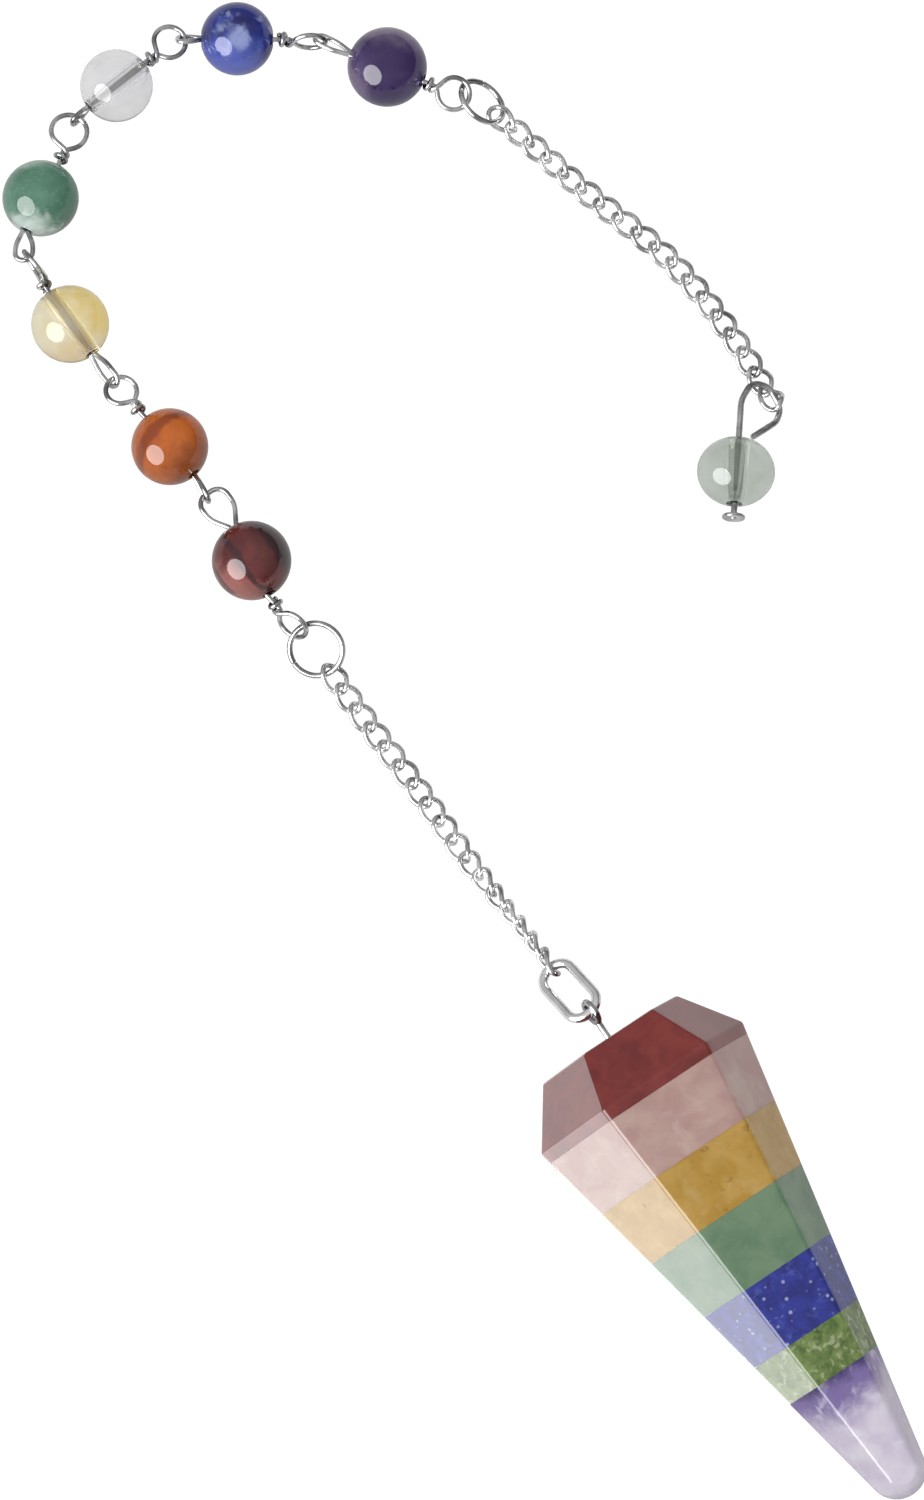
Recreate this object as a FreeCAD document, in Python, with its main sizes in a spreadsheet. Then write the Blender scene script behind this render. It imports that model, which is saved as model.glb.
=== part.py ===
"""Gemstone pendulum pendant, laid out on a table.

A seven-layer hexagonal stone point hangs from a wire eye and a bail ring, a curb chain, seven
wire-wrapped gemstone beads, a second curb chain and a head pin with a clear end bead to hold.
Lengths are millimetres and angles are degrees. Everything lies on the plane Z = 0.
"""
import FreeCAD
import Part
import Sketcher
import math
import os
from collections import namedtuple

Vector = FreeCAD.Vector
Rotation = FreeCAD.Rotation
Placement = FreeCAD.Placement

UP = Vector(0, 0, 1)

# Driving dimensions of the whole piece.
DIMENSIONS = {
    # Stone point, measured along its axis from the girdle, the tip side positive.
    "girdle_apothem": 7.98,
    "table_share": 0.662,
    "crown_height": 4.4,
    "facet_angle": 9.83,
    "tip_radius": 2.25,
    "tip_reach": 36.35,
    "tip_cone_angle": 14.0,
    "ridge_round": 0.6,
    "bail_half_width": 1.3,
    "pin_belly_share": 0.42,
    "crown_round": 0.3,
    "glue_gap": 0.03,
    # Where the laid stone's girdle centre stands, and where its tip points.
    "stone_x": 13.5,
    "stone_y": -28.9,
    "stone_turn": -55.8,
    # Eye pin set in the crown.
    "eye_wire": 0.5,
    "eye_loop_radius": 0.85,
    "eye_loop_rise": 2.45,
    "eye_roll": 80.0,
    "eye_shank_depth": 3.5,
    "eye_hole_play": 0.08,
    # Curb chain.
    "chain_wire": 0.4,
    "link_half_length": 1.31,
    "link_half_width": 0.87,
    "link_twist": 50.0,
    "lower_link_pitch": 1.89,
    "upper_link_pitch": 1.86,
    # Wire through the beads.
    "bead_wire": 0.4,
    "bead_hole": 1.02,
    "leg_offset": 0.22,
    "wrap_radius": 0.43,
    "wrap_pitch": 0.44,
    "wrap_turns": 1.5,
    "wrap_play": 0.05,
    "wrap_drop": 0.18,
    "lip_play": 0.02,
    "stub_depth": 0.35,
    # End bead and its head pin.
    "end_bead_diameter": 6.05,
    "end_bead_length": 5.4,
    "end_bead_hole": 1.2,
    "end_bead_x": 21.2,
    "end_bead_y": 21.6,
    "end_bead_turn": 86.5,
    "pin_wire": 0.5,
    "pin_head_diameter": 1.8,
    "pin_head_thickness": 0.25,
    "pin_head_stand": 1.15,
    "hook_roll": 30.0,
}

# Stone layers from the crown to the tip, each with the station where it ends.
Layer = namedtuple("Layer", "name end")
LAYERS = (
    Layer("stone_red_jasper", 0.9),
    Layer("stone_rose_quartz", 6.2),
    Layer("stone_citrine", 11.3),
    Layer("stone_green_aventurine", 16.8),
    Layer("stone_lapis", 22.0),
    Layer("stone_moss_agate", 25.7),
    Layer("stone_amethyst", 38.0),
)

# Beads from the pendant's side to the holding end. The hole runs from the plain hairpin loop
# to the wrapped round loop; each loop has its own turn, tilt and roll.
Bead = namedtuple(
    "Bead",
    "name diameter x y turn "
    "pin_turn pin_tilt pin_roll pin_length pin_width "
    "eye_turn eye_tilt eye_roll eye_reach eye_radius",
)
BEADS = (
    Bead("red_jasper", 6.15, -16.22, 14.33, -62.8, 125.5, 0, 0, 3.6, 2.35, -42.0, -20, 62, 2.95, 1.25),
    Bead("carnelian", 5.98, -22.63, 23.65, 129.7, -61.6, 0, 89, 2.61, 1.5, 131.3, -3, 4, 2.88, 1.2),
    Bead("citrine", 6.07, -30.49, 33.73, 125.1, -52.8, 4, 57, 3.43, 1.3, 124.6, -1, 80, 2.67, 1.2),
    Bead("aventurine", 5.99, -32.96, 44.21, 67.7, -93.0, 0, 10, 2.59, 1.4, 74.2, -3, 1, 2.97, 1.4),
    Bead("clear_quartz", 5.72, -27.15, 53.71, 40.2, -133.9, 0, 88, 1.96, 1.4, 42.0, -4, 2, 2.62, 1.26),
    Bead("lapis", 5.78, -17.70, 57.67, 0.0, -177.0, 2, 51, 1.98, 1.35, 0.8, 1, 84, 2.76, 1.3),
    Bead("amethyst", 6.26, -5.88, 55.19, -21.1, 152.3, -1, 38, 3.25, 1.35, -18.9, -14, 10, 2.55, 1.26),
)

# Chain routes: places that the link centres pass, with the roll of the link there.
Station = namedtuple("Station", "x y z roll")
LOWER_ROUTE = (
    Station(6.5, -18.75, 6.4, 85),
    Station(4.0, -14.7, 4.3, 75),
    Station(2.0, -11.7, 2.9, 55),
    Station(-0.2, -8.35, 1.8, 30),
    Station(-3.4, -3.4, 0.85, 10),
    Station(-6.8, 1.35, 0.62, 0),
    Station(-9.8, 5.6, 0.62, 0),
    Station(-11.2, 7.7, 0.62, 0),
)
LOWER_LINKS = 17
UPPER_ROUTE = (
    Station(24.07, 28.29, 1.28, -5.5),
    Station(23.53, 29.39, 0.84, 4.7),
    Station(22.1, 32.0, 0.72, 0),
    Station(19.1, 36.5, 0.72, 0),
    Station(15.6, 40.6, 0.72, 0),
    Station(11.7, 43.9, 0.78, 20),
    Station(8.8, 46.4, 0.9, 35),
    Station(4.7, 50.2, 1.1, 40),
    Station(3.0, 51.68, 1.2, 40),
)
UPPER_LINKS = 18

# Rings of round wire: the thick bail ring on the pendant's eye, and the jump rings that join
# the two chains to the first and the last bead.
Ring = namedtuple("Ring", "name radius wire x y z turn tilt roll")
RINGS = (
    Ring("bail_ring", 2.81, 0.75, 8.09, -21.29, 7.77, 126.0, -25.7, -13.1),
    Ring("jump_ring_lower", 2.07, 0.45, -11.23, 7.69, 1.36, -69.6, -26.3, 17.8),
    Ring("jump_ring_upper", 1.96, 0.45, 1.59, 52.78, 1.81, -24.7, -25.4, -29.8),
)

# The open hook above the end bead: along the pin, sideways, and the bend's radius.
HOOK = (
    (3.2, -0.12, 2.0),
    (4.9, -1.0, 1.2),
    (4.85, -2.6, 1.2),
    (3.4, -3.75, 1.3),
    (2.2, -3.45, 1.3),
    (0.45, -1.35, 0),
)

LOOP_ARCS = 5
LOOP_SWEEP = 300.0
WRAP_STEPS = 8
LINK_CORNERS = 12

doc = FreeCAD.newDocument("pendulum_pendant")
sheet = doc.addObject("Spreadsheet::Sheet", "dimensions")


def fill_sheet():
    """Write every driving dimension into the sheet, under its alias."""
    values = dict(DIMENSIONS)
    for bead in BEADS:
        values[bead.name + "_diameter"] = bead.diameter
    for layer in LAYERS:
        values[layer.name + "_end"] = layer.end
    for ring in RINGS:
        values[ring.name + "_radius"] = ring.radius
        values[ring.name + "_wire"] = ring.wire
    for row, (alias, value) in enumerate(values.items(), start=1):
        sheet.set("A%d" % row, alias)
        sheet.set("B%d" % row, repr(value))
        sheet.setAlias("B%d" % row, alias)
    doc.recompute()


def size(alias):
    """One driving dimension as a number."""
    return float(sheet.get(alias))


def from_sheet(expression):
    """Put the sheet's name before each alias marked with a dollar sign."""
    return expression.replace("$", "dimensions.")


def primitive(kind, label, bindings):
    """A Part primitive whose sizes follow the sheet."""
    thing = doc.addObject(kind, label)
    thing.Label = label
    for prop, expression in bindings.items():
        thing.setExpression(prop, from_sheet(expression))
    return thing


def directions(turn, tilt, roll):
    """Outward, sideways and upward directions of a loop or link."""
    turn, tilt, roll = (math.radians(angle) for angle in (turn, tilt, roll))
    outward = Vector(
        math.cos(tilt) * math.cos(turn), math.cos(tilt) * math.sin(turn), math.sin(tilt)
    )
    level = Vector(-math.sin(turn), math.cos(turn), 0)
    sideways = level * math.cos(roll) + outward.cross(level) * math.sin(roll)
    return outward, sideways, outward.cross(sideways)


def rounded_path(corners, closed=False):
    """A wire of straight runs and tangent arcs through (point, radius) corners."""
    count = len(corners)
    arcs = []
    for i, (point, radius) in enumerate(corners):
        if not closed and i in (0, count - 1):
            arcs.append((point, None, point))
            continue
        back = corners[i - 1][0] - point
        ahead = corners[(i + 1) % count][0] - point
        slope = math.tan((math.pi - back.getAngle(ahead)) / 2)
        back_share = 0.98 if not closed and i == 1 else 0.49
        ahead_share = 0.98 if not closed and i == count - 2 else 0.49
        cut = min(radius * slope, back.Length * back_share, ahead.Length * ahead_share)
        back.normalize()
        ahead.normalize()
        inward = (back + ahead).normalize()
        rise = cut / slope * (math.sqrt(1 + slope * slope) - 1)
        arcs.append((point + back * cut, point + inward * rise, point + ahead * cut))
    edges = []
    for i, (start, middle, end) in enumerate(arcs):
        if middle is not None:
            edges.append(Part.Arc(start, middle, end).toShape())
        if i < count - 1 or closed:
            edges.append(Part.LineSegment(end, arcs[(i + 1) % count][0]).toShape())
    return Part.Wire(edges)


def round_section(edge, radius):
    """The round section of a wire where a path's edge begins."""
    start = edge.valueAt(edge.FirstParameter)
    return Part.Wire([Part.Circle(start, edge.tangentAt(edge.FirstParameter), radius).toShape()])


def bent_wire(corners, diameter):
    """A solid wire with two free ends."""
    path = rounded_path(corners)
    section = round_section(path.OrderedEdges[0], diameter / 2)
    return path.makePipeShell([section], True, False)


def closed_link(corners, diameter):
    """A solid closed link, made of the stretches of its path."""
    stretches = []
    for edge in rounded_path(corners, closed=True).OrderedEdges:
        section = Part.Face(round_section(edge, diameter / 2))
        if edge.Curve.TypeId == "Part::GeomCircle":
            swing = math.degrees(edge.LastParameter - edge.FirstParameter)
            stretches.append(section.revolve(edge.Curve.Center, edge.Curve.Axis, swing))
        else:
            stretches.append(section.extrude(edge.Vertexes[-1].Point - edge.Vertexes[0].Point))
    return stretches[0].multiFuse(stretches[1:]).removeSplitter().Solids[0]


def finished(label, shape, placement=None):
    """A sub-part whose shape comes from the path functions."""
    thing = doc.addObject("Part::Feature", label)
    thing.Label = label
    thing.Shape = shape
    thing.Placement = placement or Placement()
    return thing


def stone_pose():
    """Placement of the stone, lying on one long facet."""
    facet = math.radians(size("facet_angle"))
    turn = math.radians(size("stone_turn"))
    axis = Vector(
        math.cos(facet) * math.cos(turn), math.cos(facet) * math.sin(turn), -math.sin(facet)
    )
    side = Vector(-math.sin(turn), math.cos(turn), 0)
    centre = Vector(size("stone_x"), size("stone_y"), size("girdle_apothem") * math.cos(facet))
    return Placement(centre, Rotation(side, axis.cross(side), axis, "ZXY"))


def facet_cutter(label, turn, lean):
    """A block whose inner face is the plane of one facet.

    turn is the facet's direction about the stone's axis, and lean the angle by which its
    outward normal tips towards the tip.
    """
    length = "4 * $tip_reach"
    width = "4 * $girdle_apothem"
    block = primitive(
        "Part::Box", label, {"Length": "$girdle_apothem", "Width": width, "Height": length}
    )
    corner = Placement(Vector(0, -2 * size("girdle_apothem"), -2 * size("tip_reach")), Rotation())
    tip_over = Placement(Vector(size("girdle_apothem"), 0, 0), Rotation(Vector(0, 1, 0), -lean))
    block.Placement = Placement(Vector(), Rotation(Vector(0, 0, 1), turn)) * tip_over * corner
    return block


def ridge_edges(shape, crown):
    """Numbers of the stone's edges to round: the crown's, or the long ridges."""
    chosen = []
    for number, edge in enumerate(shape.Edges, start=1):
        low, high = sorted(vertex.Z for vertex in edge.Vertexes)
        is_ridge = high - low > size("crown_height") * 2
        is_end = low > size("tip_reach")
        if not is_end and is_ridge != crown:
            chosen.append(number)
    return chosen


def build_stone():
    """The cut stone, sliced into its layers."""
    rough = primitive(
        "Part::Cylinder",
        "rough_stone",
        {"Radius": "$girdle_apothem * 1.4", "Height": "$crown_height + $tip_reach + 1"},
    )
    rough.setExpression("Placement.Base.z", from_sheet("-$crown_height"))
    crown_run = size("girdle_apothem") * (1 - size("table_share"))
    crown_lean = -math.degrees(math.atan2(crown_run, size("crown_height")))
    cutters = []
    for facet in range(6):
        turn = 30 + 60 * facet
        cutters.append(facet_cutter("side_cutter_%d" % facet, turn, size("facet_angle")))
        cutters.append(facet_cutter("crown_cutter_%d" % facet, turn, crown_lean))
    wheel = doc.addObject("Part::MultiFuse", "cutting_planes")
    wheel.Shapes = cutters
    cut_stone = doc.addObject("Part::Cut", "cut_stone")
    cut_stone.Base = rough
    cut_stone.Tool = wheel
    doc.recompute()

    soft_ridges = doc.addObject("Part::Fillet", "soft_ridges")
    soft_ridges.Base = cut_stone
    round_off = [(number, size("ridge_round")) for number in ridge_edges(cut_stone.Shape, False)]
    round_off += [(number, size("crown_round")) for number in ridge_edges(cut_stone.Shape, True)]
    soft_ridges.Edges = [(number, radius, radius) for number, radius in round_off]

    ball = primitive("Part::Sphere", "tip_ball", {"Radius": "$tip_radius"})
    ball.setExpression("Placement.Base.z", from_sheet("$tip_reach - $tip_radius"))
    meeting = "$tip_reach - $tip_radius * (1 - sin($tip_cone_angle))"
    flare = primitive(
        "Part::Cone",
        "tip_flare",
        {
            "Height": meeting + " + $crown_height + 1",
            "Radius2": "$tip_radius * cos($tip_cone_angle)",
            "Radius1": "$tip_radius * cos($tip_cone_angle) + ("
            + meeting + " + $crown_height + 1) * tan($tip_cone_angle)",
        },
    )
    flare.setExpression("Placement.Base.z", from_sheet("-$crown_height - 1"))
    bullet = doc.addObject("Part::Fuse", "tip_bullet")
    bullet.Base = flare
    bullet.Tool = ball
    blank = doc.addObject("Part::Common", "stone_blank")
    blank.Base = soft_ridges
    blank.Tool = bullet
    doc.recompute()

    parts = []
    start = "-$crown_height - 1"
    for layer in LAYERS:
        end = "$" + layer.name + "_end"
        slab = primitive(
            "Part::Cylinder",
            layer.name + "_slab",
            {
                "Radius": "2 * $girdle_apothem",
                "Height": "(%s) - (%s) - $glue_gap" % (end, start),
                "Placement.Base.z": start + " + $glue_gap / 2",
            },
        )
        piece = doc.addObject("Part::Common", layer.name + "_solid")
        piece.Base = blank
        piece.Tool = slab
        if layer is LAYERS[0]:
            piece = drilled_for_eye_pin(piece)
        piece.Label = layer.name
        piece.Placement = stone_pose()
        parts.append(piece)
        start = end
    return parts


def drilled_for_eye_pin(crown):
    """The crown layer with the hole that holds the eye pin."""
    hole = primitive(
        "Part::Cylinder",
        "eye_hole",
        {
            "Radius": "$eye_wire / 2 + $eye_hole_play",
            "Height": "$eye_shank_depth + 1 + $eye_hole_play",
            "Placement.Base.z": "-$crown_height - 1",
        },
    )
    crown.Label = "crown_undrilled"
    drilled = doc.addObject("Part::Cut", "crown_drilled")
    drilled.Base = crown
    drilled.Tool = hole
    return drilled


def build_eye_pin():
    """Straight shank in the crown with a round loop outside the table."""
    rise = "(-$crown_height - $eye_loop_rise)"
    loop = primitive(
        "Part::Torus", "eye_loop", {"Radius1": "$eye_loop_radius", "Radius2": "$eye_wire / 2"}
    )
    roll = size("eye_roll")
    loop.Placement.Rotation = Rotation(Vector(0, 0, 1), roll) * Rotation(Vector(1, 0, 0), 90)
    loop.setExpression("Placement.Base.z", from_sheet(rise))
    shank = primitive(
        "Part::Cylinder",
        "eye_shank",
        {
            "Radius": "$eye_wire / 2",
            "Height": "$eye_shank_depth + $eye_loop_rise - $eye_loop_radius",
            "Placement.Base.z": rise + " + $eye_loop_radius",
        },
    )
    pin = doc.addObject("Part::Fuse", "eye_pin_solid")
    pin.Base = loop
    pin.Tool = shank
    pin.Label = "eye_pin"
    pin.Placement = stone_pose()
    return pin


def build_ring(ring):
    """A closed round ring in its own plane."""
    bindings = {
        "Radius1": "$%s_radius" % ring.name,
        "Radius2": "$%s_wire / 2" % ring.name,
    }
    torus = primitive("Part::Torus", ring.name, bindings)
    turned = Rotation(*directions(ring.turn, ring.tilt, ring.roll), "ZXY")
    torus.Placement = Placement(Vector(ring.x, ring.y, ring.z), turned)
    return torus


def build_bail(ring):
    """A closed oval ring in its own plane: round ends joined by straight sides."""
    outward, sideways, _ = directions(ring.turn, ring.tilt, ring.roll)
    centre = Vector(ring.x, ring.y, ring.z)
    reach = outward * size(ring.name + "_radius")
    spread = sideways * size("bail_half_width")
    bend = size("bail_half_width") * 0.98
    corners = [
        (centre + reach + spread, bend),
        (centre - reach + spread, bend),
        (centre - reach - spread, bend),
        (centre + reach - spread, bend),
    ]
    return finished(ring.name, closed_link(corners, size(ring.name + "_wire")))


def link_corners():
    """Corners of one curb link: an oval twisted about its length."""
    corners = []
    for k in range(LINK_CORNERS):
        angle = 2 * math.pi * (k + 0.5) / LINK_CORNERS
        along = size("link_half_length") * math.cos(angle)
        across = size("link_half_width") * math.sin(angle)
        twist = math.radians(size("link_twist")) * math.cos(angle)
        point = Vector(along, across * math.cos(twist), across * math.sin(twist))
        corners.append((point, size("link_half_length") * 4))
    return corners


def chain_places(route, count, pitch):
    """Centre, direction and roll of each link, one pitch apart along the route."""
    curve = Part.BSplineCurve()
    curve.interpolate([Vector(stop.x, stop.y, stop.z) for stop in route])
    marks = [curve.parameter(Vector(stop.x, stop.y, stop.z)) for stop in route]
    places = []
    for i in range(count):
        mark = curve.parameterAtDistance(i * pitch, curve.FirstParameter)
        side = max(k for k in range(len(route) - 1) if marks[k] <= mark + 1e-6)
        share = (mark - marks[side]) / (marks[side + 1] - marks[side])
        roll = route[side].roll + share * (route[side + 1].roll - route[side].roll)
        places.append((curve.value(mark), -Vector(*curve.tangent(mark)[0]), roll))
    return places


def build_chain(label, route, count, pitch):
    """Interlocking curb links laid along a route."""
    link = closed_link(link_corners(), size("chain_wire"))
    links = []
    for centre, along, roll in chain_places(route, count, pitch):
        level = UP.cross(along).normalize()
        angle = math.radians(roll)
        sideways = level * math.cos(angle) + along.cross(level) * math.sin(angle)
        copy = link.copy()
        turned = Rotation(along, sideways, along.cross(sideways), "XYZ")
        copy.Placement = Placement(centre, turned)
        links.append(copy)
    return finished(label, Part.makeCompound(links))


def bead_centre(bead):
    """Where a bead's centre is: it rests on the table."""
    return Vector(bead.x, bead.y, size(bead.name + "_diameter") / 2)


def build_bead(bead):
    """A drilled ball, turned from a half section."""
    body = doc.addObject("PartDesign::Body", "bead_" + bead.name)
    body.Label = "bead_" + bead.name
    plane = next(f for f in body.Origin.OriginFeatures if f.Role == "XZ_Plane")
    sketch = body.newObject("Sketcher::SketchObject", "section_" + bead.name)
    sketch.AttachmentSupport = (plane, "")
    sketch.MapMode = "FlatFace"
    radius = bead.diameter / 2
    bore = size("bead_hole") / 2
    lean = math.acos(bore / radius)
    ball = Part.Circle(Vector(0, 0, 0), Vector(0, 0, 1), radius)
    sketch.addGeometry(Part.ArcOfCircle(ball, -lean, lean), False)
    half = math.sqrt(radius * radius - bore * bore)
    sketch.addGeometry(Part.LineSegment(Vector(bore, half, 0), Vector(bore, -half, 0)), False)
    sketch.addConstraint(Sketcher.Constraint("Coincident", 0, 3, -1, 1))
    sketch.addConstraint(Sketcher.Constraint("Coincident", 0, 2, 1, 1))
    sketch.addConstraint(Sketcher.Constraint("Coincident", 0, 1, 1, 2))
    sketch.addConstraint(Sketcher.Constraint("Vertical", 1))
    across = sketch.addConstraint(Sketcher.Constraint("Radius", 0, radius))
    sketch.setExpression("Constraints[%d]" % across, from_sheet("$%s_diameter / 2" % bead.name))
    drill = sketch.addConstraint(Sketcher.Constraint("DistanceX", -1, 1, 1, 1, bore))
    sketch.setExpression("Constraints[%d]" % drill, from_sheet("$bead_hole / 2"))
    turned = body.newObject("PartDesign::Revolution", "turned_" + bead.name)
    turned.Profile = sketch
    turned.ReferenceAxis = (sketch, ["V_Axis"])
    turned.Angle = 360
    hole_way = directions(bead.turn, 0, 0)[0]
    body.Placement = Placement(bead_centre(bead), Rotation(UP, hole_way))
    return body


def hairpin(bead, pole, leg):
    """Corners of the plain loop, from one leg in the hole to the other."""
    outward, sideways, _ = directions(bead.pin_turn, bead.pin_tilt, bead.pin_roll)
    half = bead.pin_width / 2
    end = bead.pin_length - size("bead_wire") / 2
    belly = bead.pin_length * size("pin_belly_share")
    inside = (
        (belly, -half, 2.0),
        (end, -half, half * 0.97),
        (end, half, half * 0.97),
        (belly, half, 2.0),
    )
    return [(pole + outward * x + sideways * y, radius) for x, y, radius in inside]


def wrapped_loop(bead, root):
    """Corners of the round loop and of the wraps that close it round its own stem."""
    outward, sideways, upward = directions(bead.eye_turn, bead.eye_tilt, bead.eye_roll)
    wrap = size("wrap_radius")
    over = wrap + size("wrap_play")
    neck = bead.eye_reach - bead.eye_radius / math.cos(math.radians(30))

    def place(x, y, z):
        return root + outward * x + sideways * y + upward * z

    corners = [(place(neck, 0, 0), 0.35)]
    step = math.radians(LOOP_SWEEP / LOOP_ARCS)
    reach = bead.eye_radius / math.cos(step / 2)
    for k in range(LOOP_ARCS):
        angle = math.radians(210) + step * (k + 0.5)
        lift = over * (k + 0.5) / LOOP_ARCS
        point = place(bead.eye_reach + reach * math.cos(angle), reach * math.sin(angle), lift)
        corners.append((point, bead.eye_radius * 0.985))
    corners.append((place(neck, -0.12, over), 0.3))
    round_step = 2 * math.pi / WRAP_STEPS
    swing = wrap / math.cos(round_step / 2)
    for k in range(1, int(size("wrap_turns") * WRAP_STEPS) + 1):
        angle = round_step * k
        x = neck - size("wrap_drop") - size("wrap_pitch") * k / WRAP_STEPS
        corners.append((place(x, -swing * math.sin(angle), swing * math.cos(angle)), wrap * 0.95))
    return corners


def build_bead_wire(bead):
    """One wire: a leg in the hole, the hairpin, the leg back, the round loop and its wraps."""
    hole_way = directions(bead.turn, 0, 0)[0]
    pin_side = directions(bead.pin_turn, bead.pin_tilt, bead.pin_roll)[1]
    apart = (pin_side - hole_way * pin_side.dot(hole_way)).normalize() * size("leg_offset")
    centre = bead_centre(bead)
    radius = size(bead.name + "_diameter") / 2
    pole = centre - hole_way * radius
    lip = hole_way * (radius + size("lip_play"))
    corners = [(centre + hole_way * (radius - size("stub_depth")) - apart, 0)]
    corners.append((centre - lip - apart, 0.6))
    corners += hairpin(bead, pole, apart)
    corners.append((centre - lip + apart, 0.6))
    corners.append((centre + lip + apart, 0.6))
    corners += wrapped_loop(bead, centre + hole_way * radius + apart)
    return finished("wire_" + bead.name, bent_wire(corners, size("bead_wire")))


def end_bead_centre():
    """Centre of the end bead, which rests on the table."""
    return Vector(size("end_bead_x"), size("end_bead_y"), size("end_bead_diameter") / 2)


def build_end_bead():
    """The clear bead at the holding end, a little flatter along its hole."""
    ball = primitive(
        "Part::Ellipsoid",
        "end_ball",
        {
            "Radius1": "$end_bead_length / 2",
            "Radius2": "$end_bead_diameter / 2",
            "Radius3": "$end_bead_diameter / 2",
        },
    )
    drill = primitive(
        "Part::Cylinder",
        "end_drill",
        {
            "Radius": "$end_bead_hole / 2",
            "Height": "$end_bead_length + 2",
            "Placement.Base.z": "-$end_bead_length / 2 - 1",
        },
    )
    bead = doc.addObject("Part::Cut", "end_bead_solid")
    bead.Base = ball
    bead.Tool = drill
    bead.Label = "end_bead"
    way = directions(size("end_bead_turn"), 0, 0)[0]
    bead.Placement = Placement(end_bead_centre(), Rotation(UP, way))
    return bead


def build_head_pin():
    """Pin with a flat head below the bead and an open hook above it."""
    outward, sideways, _ = directions(size("end_bead_turn"), 0, size("hook_roll"))
    centre = end_bead_centre()
    pole = size("end_bead_length") / 2
    head = centre - outward * (pole + size("pin_head_stand"))
    corners = [(head, 0)]
    corners += [(centre + outward * (pole + x) + sideways * y, radius) for x, y, radius in HOOK]
    wire = bent_wire(corners, size("pin_wire"))
    disc = Part.makeCylinder(
        size("pin_head_diameter") / 2, size("pin_head_thickness"), head, outward
    )
    return finished("head_pin", wire.fuse(disc).removeSplitter())


def check_document():
    """Stop if any object failed to compute."""
    for thing in doc.Objects:
        bad = [state for state in thing.State if state in ("Invalid", "Error")]
        if bad:
            raise RuntimeError("%s is %s" % (thing.Name, bad))


def stand_over_origin(parts):
    """Move everything so that the box's bottom centre is the origin."""
    box = FreeCAD.BoundBox()
    for part in parts:
        box.add(part.Shape.optimalBoundingBox())
    shift = Placement(Vector(-box.Center.x, -box.Center.y, 0), Rotation())
    for part in parts:
        part.Placement = shift * part.Placement


def write_steps(parts):
    """Write each sub-part under its own name."""
    os.makedirs("parts", exist_ok=True)
    for part in parts:
        if part.Shape.isNull() or not part.Shape.isValid():
            raise RuntimeError("%s has no valid shape" % part.Label)
    for part in parts:
        part.Shape.exportStep(os.path.join("parts", part.Label + ".step"))


def main():
    """Build, check and write the pendant."""
    fill_sheet()
    parts = build_stone()
    parts.append(build_eye_pin())
    parts.append(build_chain("chain_lower", LOWER_ROUTE, LOWER_LINKS, size("lower_link_pitch")))
    parts.append(build_bail(RINGS[0]))
    parts += [build_ring(ring) for ring in RINGS[1:]]
    for bead in BEADS:
        parts.append(build_bead(bead))
        parts.append(build_bead_wire(bead))
    parts.append(build_chain("chain_upper", UPPER_ROUTE, UPPER_LINKS, size("upper_link_pitch")))
    parts.append(build_end_bead())
    parts.append(build_head_pin())
    doc.recompute()
    check_document()
    stand_over_origin(parts)
    doc.recompute()
    check_document()
    write_steps(parts)
    return parts


PARTS = main()
for part in PARTS:
    print("%-24s %2d solids %9.3f mm3" % (part.Label, len(part.Shape.Solids), part.Shape.Volume))
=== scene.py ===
"""Looks of a gemstone pendulum pendant that lies on a white table.

The sub-assemblies are the stone point with its eye pin, two curb chains, three wire rings, seven
wire-wrapped beads and the end bead on its head pin. Sizes are in millimetres in the layout's own
frame, whose origin is the point that the camera looks at; Layout turns them into metres.
"""

import logging
import math
from dataclasses import dataclass
from enum import Enum
from typing import Sequence

import bmesh
import bpy
import numpy as np
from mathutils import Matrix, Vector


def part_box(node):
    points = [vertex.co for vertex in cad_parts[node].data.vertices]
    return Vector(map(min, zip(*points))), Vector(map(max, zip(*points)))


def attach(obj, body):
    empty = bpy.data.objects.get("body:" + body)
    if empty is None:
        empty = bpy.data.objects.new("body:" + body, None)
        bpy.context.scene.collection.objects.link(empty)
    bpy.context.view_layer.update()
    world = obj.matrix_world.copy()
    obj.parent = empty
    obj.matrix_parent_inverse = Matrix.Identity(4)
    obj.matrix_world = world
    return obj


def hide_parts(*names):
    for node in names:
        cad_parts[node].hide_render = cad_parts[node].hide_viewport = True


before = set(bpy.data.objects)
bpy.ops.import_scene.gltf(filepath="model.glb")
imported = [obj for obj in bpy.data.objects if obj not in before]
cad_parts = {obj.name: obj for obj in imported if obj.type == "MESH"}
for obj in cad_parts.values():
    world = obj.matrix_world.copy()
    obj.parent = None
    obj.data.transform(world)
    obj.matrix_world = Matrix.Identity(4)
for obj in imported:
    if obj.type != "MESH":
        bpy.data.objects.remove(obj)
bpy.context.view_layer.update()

log = logging.getLogger("pendulum_pendant")

MM = 0.001
UP = np.array((0.0, 0.0, 1.0))

# Degrees between two points of an arc.
ARC_STEP = 9.0
# Share of a straight run that a bend may use up, between two bends and beside a free end.
RUN_SHARE = 0.49
END_RUN_SHARE = 0.98
# How far a wire's free end is rounded, and how far along the bevel its middle ring lies.
WIRE_END_ROUND = 0.35
BEVEL_SHARE = 0.7
# Degrees between two faces from which their edge is crisp.
SHARP_ANGLE = 32.0
# Two stations of the stone closer than this are one.
TOUCH = 1e-4
# Points round a ball, along half its outline and along its bore.
BALL_SIDES = 96
BALL_STEPS = 64
BORE_STEPS = 16

Point = np.ndarray
Colour = tuple[float, float, float]
Corner = tuple[Point, float]


# Geometry


def unit(vector: Point) -> Point:
    """A vector's direction."""
    return vector / np.linalg.norm(vector)


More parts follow.
